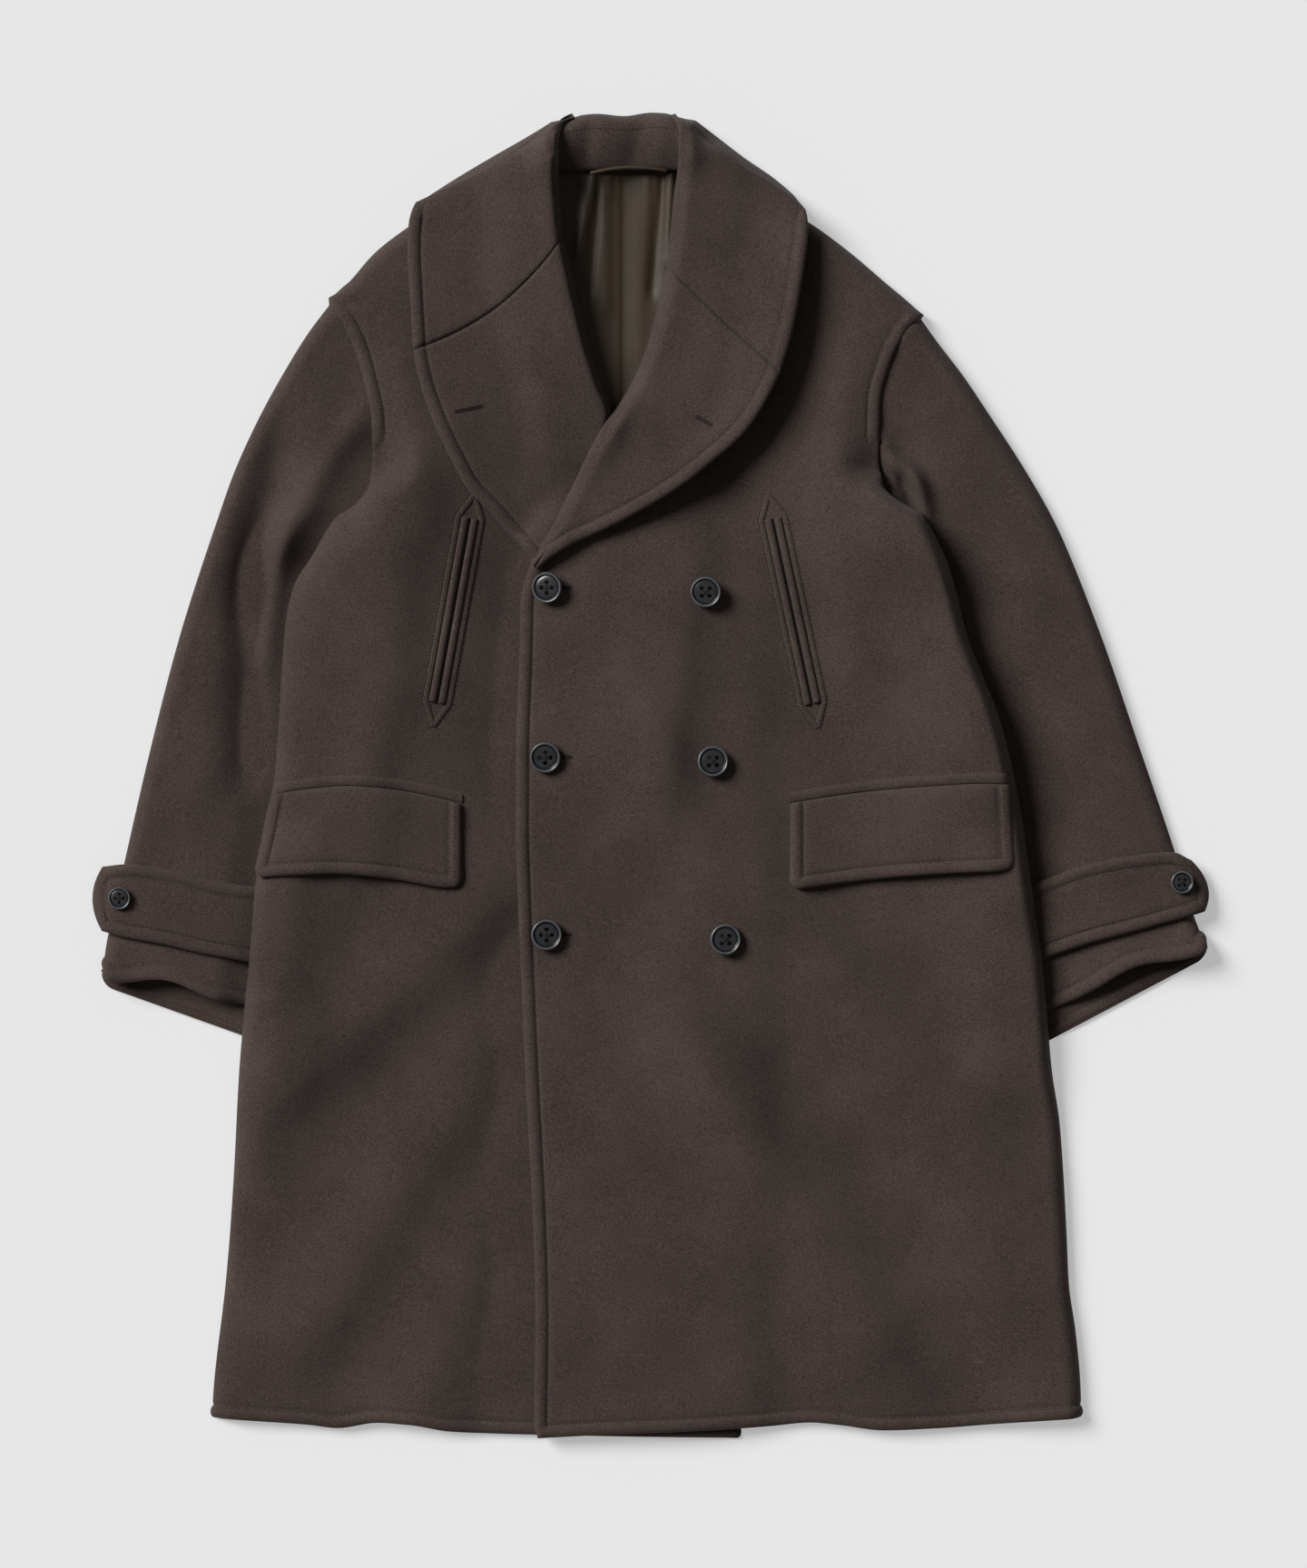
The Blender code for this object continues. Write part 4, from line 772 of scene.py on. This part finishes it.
def sleeves():
    """Each sleeve: a flat under sleeve on the surface and a lofted top sleeve over it, open at the cuff."""
    for hand in HANDS:
        table = SLEEVE[hand]
        loft = columns_of(table)[5]
        outward = OUTWARD[hand]
        body = np.arange(HEM_Y, BODY_TOP, 2.0)
        body_side = curve(OUTLINE[hand], 0, 1)(body)

        def headed(x, y, u):
            """Eases the sleeve's head on to the line of the armhole."""
            tuck = HEAD_TUCK * np.clip(u[0] / TIP_SHARE, TIP_LEAST, 1)
            tuck += FOOT_TUCK * np.clip((u[0] - 1 + FOOT_SHARE) / FOOT_SHARE, 0, 1)
            off = np.interp(y[0], body, body_side) - outward * tuck - x[0]
            return x + np.outer(np.clip(1 - rows / HEAD_BLEND, 0, 1) ** 2, off)

        longer = table[:-1] + (tuple(np.add(table[-1], (0, -UNDER_CUFF[0], 0, -UNDER_CUFF[1], 0, 0))),)
        rows = stations(SLEEVE_LENGTH, [0.0], TURN_AT, SLEEVE_ROWS)
        bend = (rows ** CUFF_CUT_BEND)[:, None]

        def rounded(u, layer):
            """How far a layer of the cuff is drawn back to round its outer corner."""
            wide = math.hypot(table[-1][0] - table[-1][2], table[-1][1] - table[-1][3])
            corner = np.clip(1 - u * wide / CUFF_ROUND[layer], 0, 1)
            return bend * CUFF_ROUND[layer] * (1 - np.sqrt(1 - corner ** 2))

        x, y, u = sections(longer, rows, roll_steps(CUFF_ROUND["under"]), [0.0], SLEEVE_SPANS)
        x, y = headed(x, y, u), y + rounded(u, "under")
        points = lay(x, y, turned=[side(x, y, "bottom")])
        cloth(f"sleeve_{hand}_under", points, CUTS["sleeve_under"])
        sew(f"sleeve_{hand}_under", [points[-1 - STITCH, CUFF_SEWN:]])
        x, y, u = sections(table, rows, roll_steps(ROLL), roll_steps(ROLL), SLEEVE_SPANS)
        x = headed(x, y, u)
        drawn = CUFF_CUT * np.exp(-(((u - CUFF_CUT_AT) / CUFF_CUT_WIDTH) ** 2)) * np.sin(np.pi * u)
        y = y + bend * drawn + rounded(u, "top")
        edges = [side(x, y, "start"), side(x, y, "end")]
        inside = outward * (np.interp(y, body, body_side) - x)
        press = np.clip((inside - PRESS_FROM[hand]) / (PRESS_TO - PRESS_FROM[hand]), 0, 1)
        press = press * press * (3 - 2 * press) * np.clip((PRESS_TOP - y) / PRESS_FADE, 0, 1)
        pressed = 1 - SLEEVE_FLAT * press
        near = np.hypot(x - table[0][2], y - table[0][3]) / UNDERARM_REACH
        pressed *= 1 - UNDERARM_PRESS * np.exp(-near ** 2)
        rise = loft(rows)[:, None] + folds(x, y, SLEEVE_FOLDS[hand]) + waviness(x, y)
        rise = np.maximum(rise * pressed + folds(x, y, UNDERARM_LOOP[hand]), SLEEVE_LEAST)
        points = lay(x, y, loft=rise, rolled=edges, turned=[side(x, y, "bottom")], seamed=[side(x, y, "top")])
        cloth(f"sleeve_{hand}_top", points, CUTS["sleeve_top"])


def cuff_tabs():
    """A buttoned tab across each cuff, its far end under the coat's side."""
    for hand in HANDS:
        tx, ty, bx, by = columns_of(TAB[hand])
        v = np.linspace(0, 1, TAB_ROWS) ** TAB_CROWD
        u = stations(TAB_DEPTH, TURN_AT, TURN_AT, TAB_SPANS)
        x = np.outer(tx(v), 1 - u) + np.outer(bx(v), u)
        y = np.outer(ty(v), 1 - u) + np.outer(by(v), u)
        x += OUTWARD[hand] * TAB_END_BOW * np.outer((1 - v) ** TAB_END_BEND, 4 * u * (1 - u))
        edges = [side(x, y, name) for name in ("start", "end", "top")]
        points = lay(x, y, thick=DOUBLE, loft=TAB_RISE, turned=edges)
        cloth(f"cuff_tab_{hand}", points, CUTS["cuff_tab"], thick=DOUBLE)
        end = int(np.argmax(np.abs(x[:, len(u) // 2] - x[0, len(u) // 2]) > STITCH_AT))
        round_end = points[end, STITCH:-STITCH]
        sew(f"cuff_tab_{hand}", [points[end:, STITCH], points[end:, -1 - STITCH], round_end])


def back():
    """The back, flat on the surface, rising at its sides over the tucked sleeves."""
    right, left = (curve(OUTLINE[hand], 0, 1) for hand in HANDS)
    row = np.linspace(BACK_TOP, BACK_HEM, BACK_ROWS)[:, None]
    u = np.linspace(0, 1, BACK_COLUMNS)[None, :]
    inset = BACK_INSET + ARM_INSET * np.clip((row - INSET_FROM) / INSET_RUN, 0, 1)
    x = (right(row) + inset) * (1 - u) + (left(row) - inset) * u
    y = np.repeat(row, BACK_COLUMNS, axis=1)
    cap = np.where(y > ARM_FOOT, 0.0, NO_CAP)
    points = lay(x, y, gap=LAP, rolled=[side(x, y, "start"), side(x, y, "end")], cap=cap)
    cloth("back", points, CUTS["back"])


def lining():
    """The back lining as far as the open neck shows it, with its centre pleat and gathers."""
    right, left = (curve(FRONT_EDGE[hand], 0, 1) for hand in HANDS)
    y = np.repeat(np.linspace(LINING_TOP, LINING_FOOT, LINING_ROWS)[:, None], LINING_COLUMNS, axis=1)
    low, high = right(y) - LINING_TUCK, left(y) + LINING_TUCK
    x = low + np.linspace(0, 1, LINING_COLUMNS) * (high - low)
    loft = PLEAT_STEP / (1 + np.exp((x - LINING_PLEAT_X) / PLEAT_SOFT))
    off_pleat = np.clip((x - LINING_PLEAT_X) / (high - low) * 2, -1, 1)
    loft += folds(x, y, LINING_DRAPES) + LINING_HOLLOW * off_pleat ** 2
    for top, at, width, height, length in LINING_FOLDS:
        loft += height * np.exp(-(((x - at) / width) ** 2)) * np.clip(1 - (top - y) / length, 0, 1)
    points = lay(x, y, thick=SATIN, loft=loft)
    cloth("back_lining", points, CUTS["back_lining"], SATIN, SATIN_LINING)


def collar_back():
    """Behind the neck: the fall on the surface, the stand folded up over it, and the hanger loop."""
    top = curve(NECK_TOP, 0, 1)
    x = np.repeat(np.linspace(*FALL_ENDS, FALL_COLUMNS)[None, :], FALL_ROWS, axis=0)
    v = np.linspace(0, 1, FALL_ROWS)[:, None]
    y = (top(x) - FALL_INSET) * (1 - v) + (NECK_SEAM_Y + FALL_FOOT) * v
    cloth("collar_fall", lay(x, y), CUTS["collar_fall"])
    v = stations(STAND_DEPTH, roll_steps(ROLL), [0.0], STAND_SPANS)[:, None]
    x = np.repeat(np.linspace(*STAND_ENDS, STAND_COLUMNS)[None, :], len(v), axis=0)
    y = top(x) * (1 - v) + NECK_SEAM_Y * v
    loft = STAND_RISE[1] + (STAND_RISE[0] - STAND_RISE[1]) * v ** STAND_BEND + folds(x, y, STAND_FOLDS)
    loft += STAND_END_RISE * np.abs(np.linspace(-1, 1, STAND_COLUMNS)) ** STAND_END_BEND
    points = lay(x, y, loft=loft, rolled=[side(x, y, "top")], seamed=[side(x, y, "bottom")])
    cloth("collar_stand", points, CUTS["collar_stand"])
    row = int(np.argmax(v[:, 0] * STAND_DEPTH > STAND_STITCH))
    shown = (x[row] > STAND_SEWN[0]) & (x[row] < STAND_SEWN[1])
    sew("collar_stand", [points[row][shown] + np.array((0, 0, STITCH_LIFT))])
    (x0, y0), (x1, y1) = LOOP_ENDS
    u = np.linspace(0, 1, LOOP_ROWS)
    v = np.linspace(-0.5, 0.5, LOOP_COLUMNS)
    x = np.repeat((x0 + u * (x1 - x0))[:, None], len(v), axis=1)
    y = (y0 + u * (y1 - y0) + LOOP_BOW * np.sin(np.pi * u))[:, None] + LOOP_WIDTH * v
    points = lay(x, y, thick=TAPE, loft=(LOOP_ARCH * np.sin(np.pi * u))[:, None] + 1 - (2 * v) ** 4)
    cloth("hanger_loop", points, CUTS["hanger_loop"], TAPE, SATIN_LINING)


def front(hand):
    """A front from shoulder to hem, turned and stitched along its edge and hem and rolled over at the side."""
    edge = curve(FRONT_EDGE[hand], 0, 1)
    outline = curve(OUTLINE[hand], 0, 1)
    hem = curve(HEM[hand], 0, 1)
    hem_rows = HEM_Y + np.array(TURN_AT[::-1])
    x, y = [], []
    for row in (*np.arange(BODY_TOP, hem_rows[0] + BODY_STEP / 2, -BODY_STEP), *hem_rows):
        tuck = NECK_TUCK * np.clip((row - BREAK_Y) / BREAK_RUN, 0, 1)
        start, end = edge(row) + OUTWARD[hand] * tuck, outline(row)
        u = stations(abs(end - start), TURN_AT, TURN_AT, BODY_SPANS)
        line = start + u * (end - start)
        drop = np.clip((HEM_FROM - row) / (HEM_FROM - HEM_Y), 0, 1)
        x.append(line)
        y.append(row + drop * (hem(line) - HEM_Y))
    x, y = np.array(x), np.array(y)
    ends = side(x, y, "end")
    over = [p for p in ends if p[1] >= SHOULDER_Y[hand] - 1]
    flank = [p for p in ends if p[1] <= ARM_FOOT]
    armhole = [p for p in ends if SEAM_FOOT <= p[1] <= SHOULDER_Y[hand]]
    loft = LOFT + folds(x, y, FOLDS[hand]) + waviness(x, y)
    loft += SIDE_LOFT[hand] * np.exp(-((distance(x, y, ends) / SIDE_REACH) ** 2))
    loft = np.maximum(loft, LEAST_LOFT)
    lapped = [p for p in side(x, y, "start") if p[1] <= BREAK_Y + BREAK_RUN / 2]
    roll = np.where(y > SHOULDER_Y[hand], ROLL, SIDE_ROLL[hand])
    ridge = [p for p in armhole if p[1] >= RIDGE_FOOT]
    rolled, turned = [over, flank], [lapped, side(x, y, "bottom"), ridge]
    if hand == "right":
        roll = np.where(x > 0, UNDERLAP_TAPER, roll)
        rolled, turned = [over, flank, lapped], turned[1:]
    beside = pile.sample(pile.top, x[:, -1] + OUTWARD[hand] * CELL / 2, y[:, -1])
    even = np.ones(2 * MEET_BLUR + 1) / (2 * MEET_BLUR + 1)
    beside = np.convolve(np.pad(beside, MEET_BLUR, mode="edge"), even, mode="valid")[:, None] + WOOL + SEAM
    near = np.clip(1 - np.abs(x - x[:, -1:]) / ARM_REACH, 0, 1)
    arm = np.clip((y[:, -1:] - MEET_FROM) / MEET_RUN, 0, 1)
    arm = arm * np.clip((SHOULDER_Y[hand] - MEET_SHORT - y[:, -1:]) / MEET_RUN, 0, 1)
    cap = np.where((y > ARM_FOOT) & (near > 0), ARM_CAP, NO_CAP)
    points = lay(x, y, loft=loft, gap=LAP, rolled=rolled, roll=roll, bridge=WIDE_BRIDGE, turned=turned,
                 seamed=[[p for p in armhole if p[1] <= RIDGE_FOOT]], cap=cap,
                 met=(beside, arm * near * near * (3 - 2 * near)))
    cloth(f"front_{hand}", points, CUTS["front"])
    down = points[points[:, STITCH, 1] <= BREAK_Y, STITCH][:-STITCH]
    sewn_ridge = (y[:, -1] >= RIDGE_FOOT) & (y[:, -1] <= SHOULDER_Y[hand] - STITCH_AT)
    sew(f"front_{hand}", [down, points[-1 - STITCH, STITCH:-HEM_SEWN], points[sewn_ridge, -1 - STITCH]])


def lapel_and_collar(hand):
    """The turned-back lapel and the collar's wing beside it, laid as one and cut at the gorge seam."""
    grids = []
    for table in (LAPEL[hand], COLLAR[hand]):
        rows = np.linspace(0, 1, COLLAR_ROWS)
        fold_rise, edge_rise, roll = (column(rows)[:, None] for column in columns_of(table)[5:])
        x, y, u = sections(table, rows, TURN_AT, roll_steps(float(roll[0, 0])), COLLAR_SPANS)
        grids.append((x, y, u, fold_rise * u ** 2 + edge_rise * (1 - u) ** 2, np.repeat(roll, x.shape[1], axis=1)))
    x, y, u, rise, roll = (np.concatenate((low[::-1], high)) for low, high in zip(*grids))
    corner = COLLAR_ROWS + round(COLLAR_ROWS * COLLAR_CORNERS[hand] / (len(COLLAR[hand]) - 1))
    eased = np.clip((np.arange(len(x)) - corner) / COLLAR_EASE, EASE_LEAST, 1.0)[:, None]
    roll = np.where(u < 0.5, eased * ROLL, roll)
    width = np.hypot(x[:, -1] - x[:, 0], y[:, -1] - y[:, 0])[:, None]
    bead_end = np.clip((corner + BEAD_PAST - np.arange(len(x))) / COLLAR_EASE, BEAD_LEAST, 1.0)[:, None]
    squeeze = np.where(u < 0.5, np.minimum(np.clip(width / LAPEL_FULL, LAPEL_LEAST, 1), bead_end), 1.0)
    free = side(x, y, "start")
    gorge = list(zip(x[COLLAR_ROWS], y[COLLAR_ROWS]))
    points = lay(x, y, thick=DOUBLE, loft=rise + waviness(x, y), gap=LAP, roll=roll,
                 rolled=[side(x, y, "end"), free[corner:], side(x, y, "bottom")],
                 turned=[free[:corner + 1]], creased=[gorge], squeeze=squeeze)
    seam_line = points[COLLAR_ROWS, GORGE_FROM:-GORGE_FROM]
    # Dark strip along the gorge seam: partly its sunk thread, partly painted shade of the seam's crease
    band(f"gorge_seam_thread_and_shade_{hand}", seam_line[:, None, :] + np.array(GORGE_OFF)[None, :, :], THREAD)
    for name, part, stitched in (("lapel", points[:COLLAR_ROWS], points[LAPEL_SEWN:COLLAR_ROWS]),
                                 ("collar", points[COLLAR_ROWS:], points[COLLAR_ROWS:corner - 2])):
        cloth(f"{name}_{hand}", part, CUTS[name], thick=DOUBLE)
        sew(f"{name}_{hand}", [stitched[:, STITCH]])


def chest_pocket(hand):
    """Two raised lips along the slanted slit of a chest pocket, in a stitched frame with pointed ends."""
    x0, y0, x1, y1 = CHEST_SLITS[hand]
    length = math.hypot(x1 - x0, y1 - y0)
    along = np.array([x1 - x0, y1 - y0]) / length
    lean = np.array([-along[1], along[0]])
    v = np.linspace(0, length, LIP_ROWS)[:, None]
    for name, way in (("front", -1.0), ("back", 1.0)):
        across = way * (LIP_GAP / 2 + LIP_WIDTH * np.array(LIP_ACROSS))[None, :]
        x = x0 + along[0] * v + lean[0] * across
        y = y0 + along[1] * v + lean[1] * across
        points = np.stack((x, y, on(f"front_{hand}", x, y) + np.array(LIP_UP)[None, :]), axis=2)
        pile.add(points)
        cloth(f"chest_welt_{hand}_{name}", points, CUTS["chest_welt"], thick=TRIM)
    head, foot = np.array((x0, y0), float), np.array((x1, y1), float)
    # Dark strip in the slit: painted shade of the pocket's opening
    band(f"chest_slit_painted_shade_{hand}", strip(f"front_{hand}", (head, foot), SLIT_AT, SLIT_UP), THREAD)
    stitched = []
    for way in (-1.0, 1.0):
        line = (head - along * FRAME_POINT, head + way * lean * FRAME_HALF, foot + way * lean * FRAME_HALF,
                foot + along * FRAME_POINT)
        wide = FRAME_WIDTH * np.linspace(-0.5, 0.5, FRAME_COLUMNS)
        up = FRAME_UP * (1 - (2 * wide / FRAME_WIDTH) ** 4) - FRAME_SINK
        points = strip(f"front_{hand}", line, wide, up)
        pile.add(points)
        band(f"chest_frame_{hand}_{'front' if way < 0 else 'back'}", points)
        out, lift = FRAME_STITCH
        stitched.append(strip(f"front_{hand}", line, (way * (FRAME_WIDTH / 2 + out),), (lift,))[:, 0])
    sew(f"chest_frame_{hand}", stitched)


def flap_pocket(hand):
    """A pocket flap under its jet, standing a little off the front at its lower edge."""
    x_at, y_at, depth = columns_of(FLAP[hand])
    u = stations(FLAP_LENGTH, TURN_AT, TURN_AT, FLAP_SPANS[0])
    v = stations(FLAP_DEPTH, SEAM_AT, TURN_AT, FLAP_SPANS[1])[:, None]
    outer_end = 1 - u if hand == "right" else u
    corner = np.clip(1 - FLAP_LENGTH * np.minimum(u, 1 - u) / FLAP_CORNER, 0, 1)
    short = FLAP_CORNER * (1 - np.sqrt(1 - corner ** 2))
    x = x_at(u)[None, :] + FLAP_SKEW[hand] * outer_end[None, :] ** 2 * v
    y = y_at(u)[None, :] - (depth(u) - short)[None, :] * v - SEAM
    edges = [side(x, y, name) for name in ("start", "end", "bottom")]
    loft = FLAP_RISE * v ** 2 - FLAP_DROOP * outer_end ** FLAP_BEND - FLAP_INNER * (1 - outer_end) ** FLAP_BEND
    points = lay(x, y, thick=DOUBLE, loft=loft, turned=edges, seamed=[side(x, y, "top")])
    cloth(f"flap_{hand}", points, CUTS["flap"], thick=DOUBLE)
    sew(f"flap_{hand}", [points[FLAP_SEWN:-STITCH, STITCH], points[FLAP_SEWN:-STITCH, -1 - STITCH],
                         points[-1 - STITCH, STITCH:-STITCH]])
    u = 1 - JET_SPAN * (1 - u) if hand == "right" else JET_SPAN * u
    x = np.repeat(x_at(u)[None, :], len(JET_ACROSS), axis=0)
    y = y_at(u)[None, :] + JET_WIDTH * np.array(JET_ACROSS)[:, None]
    points = np.stack((x, y, on(f"front_{hand}", x, y) + np.array(JET_UP)[:, None]), axis=2)
    pile.add(points)
    cloth(f"flap_jet_{hand}", points, CUTS["flap_jet"], thick=TRIM)


def buttons():
    """Turned buttons with a rim, a dished face, four holes and crossed thread, on a short shank of thread."""
    for name, x, y, diameter, tilt_x, tilt_y in BUTTONS:
        radius = diameter / 2
        thick = BUTTON_THICKNESS * diameter
        ring = np.linspace(0, 2 * math.pi, BUTTON_RING)
        under = pile.sample(pile.top, x + radius * np.cos(ring), y + radius * np.sin(ring)).max()
        lean = radius * math.sin(math.radians(max(abs(tilt_x), abs(tilt_y))))
        tilt = Matrix.Rotation(math.radians(tilt_y), 4, "Y") @ Matrix.Rotation(math.radians(tilt_x), 4, "X")
        place = Matrix.Translation(Vector((x, y, under + lean + BUTTON_SHANK)) * MM) @ tilt
        mesh = bmesh.new()
        profile = [mesh.verts.new((r * radius * MM, 0.0, z * thick * MM)) for r, z in BUTTON_PROFILE]
        edges = [mesh.edges.new(pair) for pair in zip(profile[:-1], profile[1:])]
        bmesh.ops.spin(mesh, geom=profile + edges, axis=(0, 0, 1), cent=(0, 0, 0), angle=2 * math.pi,
                       steps=BUTTON_SIDES, use_merge=True)
        bmesh.ops.remove_doubles(mesh, verts=mesh.verts, dist=1e-6)
        bmesh.ops.recalc_face_normals(mesh, faces=mesh.faces)
        for face in mesh.faces:
            spot = face.calc_center_median() / MM
            out, up = math.hypot(spot.x, spot.y) / radius, spot.z / thick
            # Faces on the rim get horn painted pale as a highlight, those on the face horn painted grey as a
            # reflection
            if up > 0.5:
                rim_highlight = out > BUTTON_RIM[0] and up > BUTTON_RIM[1]
                face.material_index = 1 if rim_highlight else 2 if out < BUTTON_FACE else 0
        mesh.transform(place)
        data = bpy.data.meshes.new(f"{name}_horn")
        mesh.to_mesh(data)
        mesh.free()
        drill = bmesh.new()
        thread = bmesh.new()
        for quarter in range(4):
            way = Matrix.Rotation(math.radians((0 if "right" in name else 45) + 90 * quarter), 4, "Z")
            out = way @ Matrix.Translation((HOLE_OUT * diameter * MM, 0, thick * MM / 2))
            bmesh.ops.create_cone(drill, cap_ends=True, segments=16, radius1=HOLE_WIDE * radius * MM,
                                  radius2=HOLE_WIDE * radius * MM, depth=3 * thick * MM, matrix=place @ out)
            strand = Matrix.Diagonal((HOLE_OUT * diameter * MM, STRAND[0] * MM, STRAND[1] * MM, 1.0))
            across = way @ Matrix.Translation((0, 0, THREAD_UP * thick * MM)) @ strand
            if quarter < 2:
                bmesh.ops.create_uvsphere(thread, u_segments=10, v_segments=6, radius=1.0, matrix=place @ across)
        bmesh.ops.create_cone(thread, cap_ends=True, segments=12, radius1=SHANK_RADIUS * MM,
                              radius2=SHANK_RADIUS * MM, depth=(lean + 2 * BUTTON_SHANK) * MM,
                              matrix=place @ Matrix.Translation((0, 0, -(lean + BUTTON_SHANK) * MM / 2)))
        holes = bpy.data.meshes.new(f"{name}_holes")
        drill.to_mesh(holes)
        drill.free()
        cutter = bpy.data.objects.new(f"{name}_holes", holes)
        made = piece(f"{name}_horn", data, HORN)
        data.materials.append(HORN_RIM_HIGHLIGHT)
        data.materials.append(HORN_FACE_REFLECTION)
        bpy.context.scene.collection.objects.link(cutter)
        cut = made.modifiers.new("holes", "BOOLEAN")
        cut.object = cutter
        cut.operation = "DIFFERENCE"
        cut.solver = "EXACT"
        bpy.context.view_layer.update()
        drilled = bpy.data.meshes.new_from_object(made.evaluated_get(bpy.context.evaluated_depsgraph_get()))
        made.modifiers.clear()
        made.data = drilled
        drilled.shade_smooth()
        drilled.set_sharp_from_angle(angle=math.radians(BUTTON_CREASE))
        bpy.data.objects.remove(cutter)
        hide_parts(name)
        strands = bpy.data.meshes.new(f"{name}_thread")
        thread.to_mesh(strands)
        thread.free()
        strands.shade_smooth()
        piece(f"{name}_thread", strands, THREAD)


def buttonholes():
    """Worked buttonholes of the lapels and of the left front."""
    for k, (node, x0, y0, x1, y1) in enumerate(BUTTONHOLES):
        line = ((x0, y0), (x1, y1))
        band(f"buttonhole_{k}", strip(node, line, BUTTONHOLE_AT, BUTTONHOLE_UP, BUTTONHOLE_STEP), THREAD)


sleeves()
cuff_tabs()
back()
lining()
collar_back()
for hand in HANDS:
    front(hand)
for hand in HANDS:
    lapel_and_collar(hand)
    chest_pocket(hand)
    flap_pocket(hand)
buttonholes()
buttons()

# Plain pale floor, a little lit from below as a light table is, soft light from the upper left, camera straight above
FLOOR_SIZE = 12.0
FLOOR_GLOW = 0.4
SUN_FROM = (-1.0, 0.65)
SUN_HEIGHT = 37.0
SUN_POWER = 4.4
SUN_SPREAD = 28.0
SKY = 0.14
CAMERA_AT = (0.002, -0.0076, 6.0)
FRAME_TALL = 1.3824

ground = bmesh.new()
bmesh.ops.create_grid(ground, x_segments=1, y_segments=1, size=FLOOR_SIZE / 2)
ground_mesh = bpy.data.meshes.new("floor")
ground.to_mesh(ground_mesh)
ground.free()
floor = bpy.data.objects.new("floor", ground_mesh)
bpy.context.scene.collection.objects.link(floor)
paper = bpy.data.materials.new("paper_backdrop_matt")
paper.use_nodes = True
matt = paper.node_tree.nodes["Principled BSDF"].inputs
matt["Base Color"].default_value = linear("AAAAAA")
matt["Roughness"].default_value = 1.0
matt["Specular IOR Level"].default_value = 0.0
matt["Emission Color"].default_value = (1.0, 1.0, 1.0, 1.0)
matt["Emission Strength"].default_value = FLOOR_GLOW
ground_mesh.materials.append(paper)

light = bpy.data.lights.new("window", "SUN")
light.energy = SUN_POWER
light.angle = math.radians(SUN_SPREAD)
window = bpy.data.objects.new("window", light)
rise = math.radians(SUN_HEIGHT)
shine = Vector((*(Vector(SUN_FROM).normalized() * math.cos(rise)), math.sin(rise)))
window.rotation_euler = shine.to_track_quat("Z", "Y").to_euler()
bpy.context.scene.collection.objects.link(window)
world = bpy.data.worlds.new("studio")
world.use_nodes = True
world.node_tree.nodes["Background"].inputs["Color"].default_value = (1.0, 1.0, 1.0, 1.0)
world.node_tree.nodes["Background"].inputs["Strength"].default_value = SKY
bpy.context.scene.world = world
bpy.context.scene.view_settings.view_transform = "Standard"

lens = bpy.data.cameras.new("camera")
lens.lens = lens.sensor_width * CAMERA_AT[2] / FRAME_TALL
camera = bpy.data.objects.new("camera", lens)
camera.location = CAMERA_AT
bpy.context.scene.collection.objects.link(camera)
bpy.context.scene.camera = camera
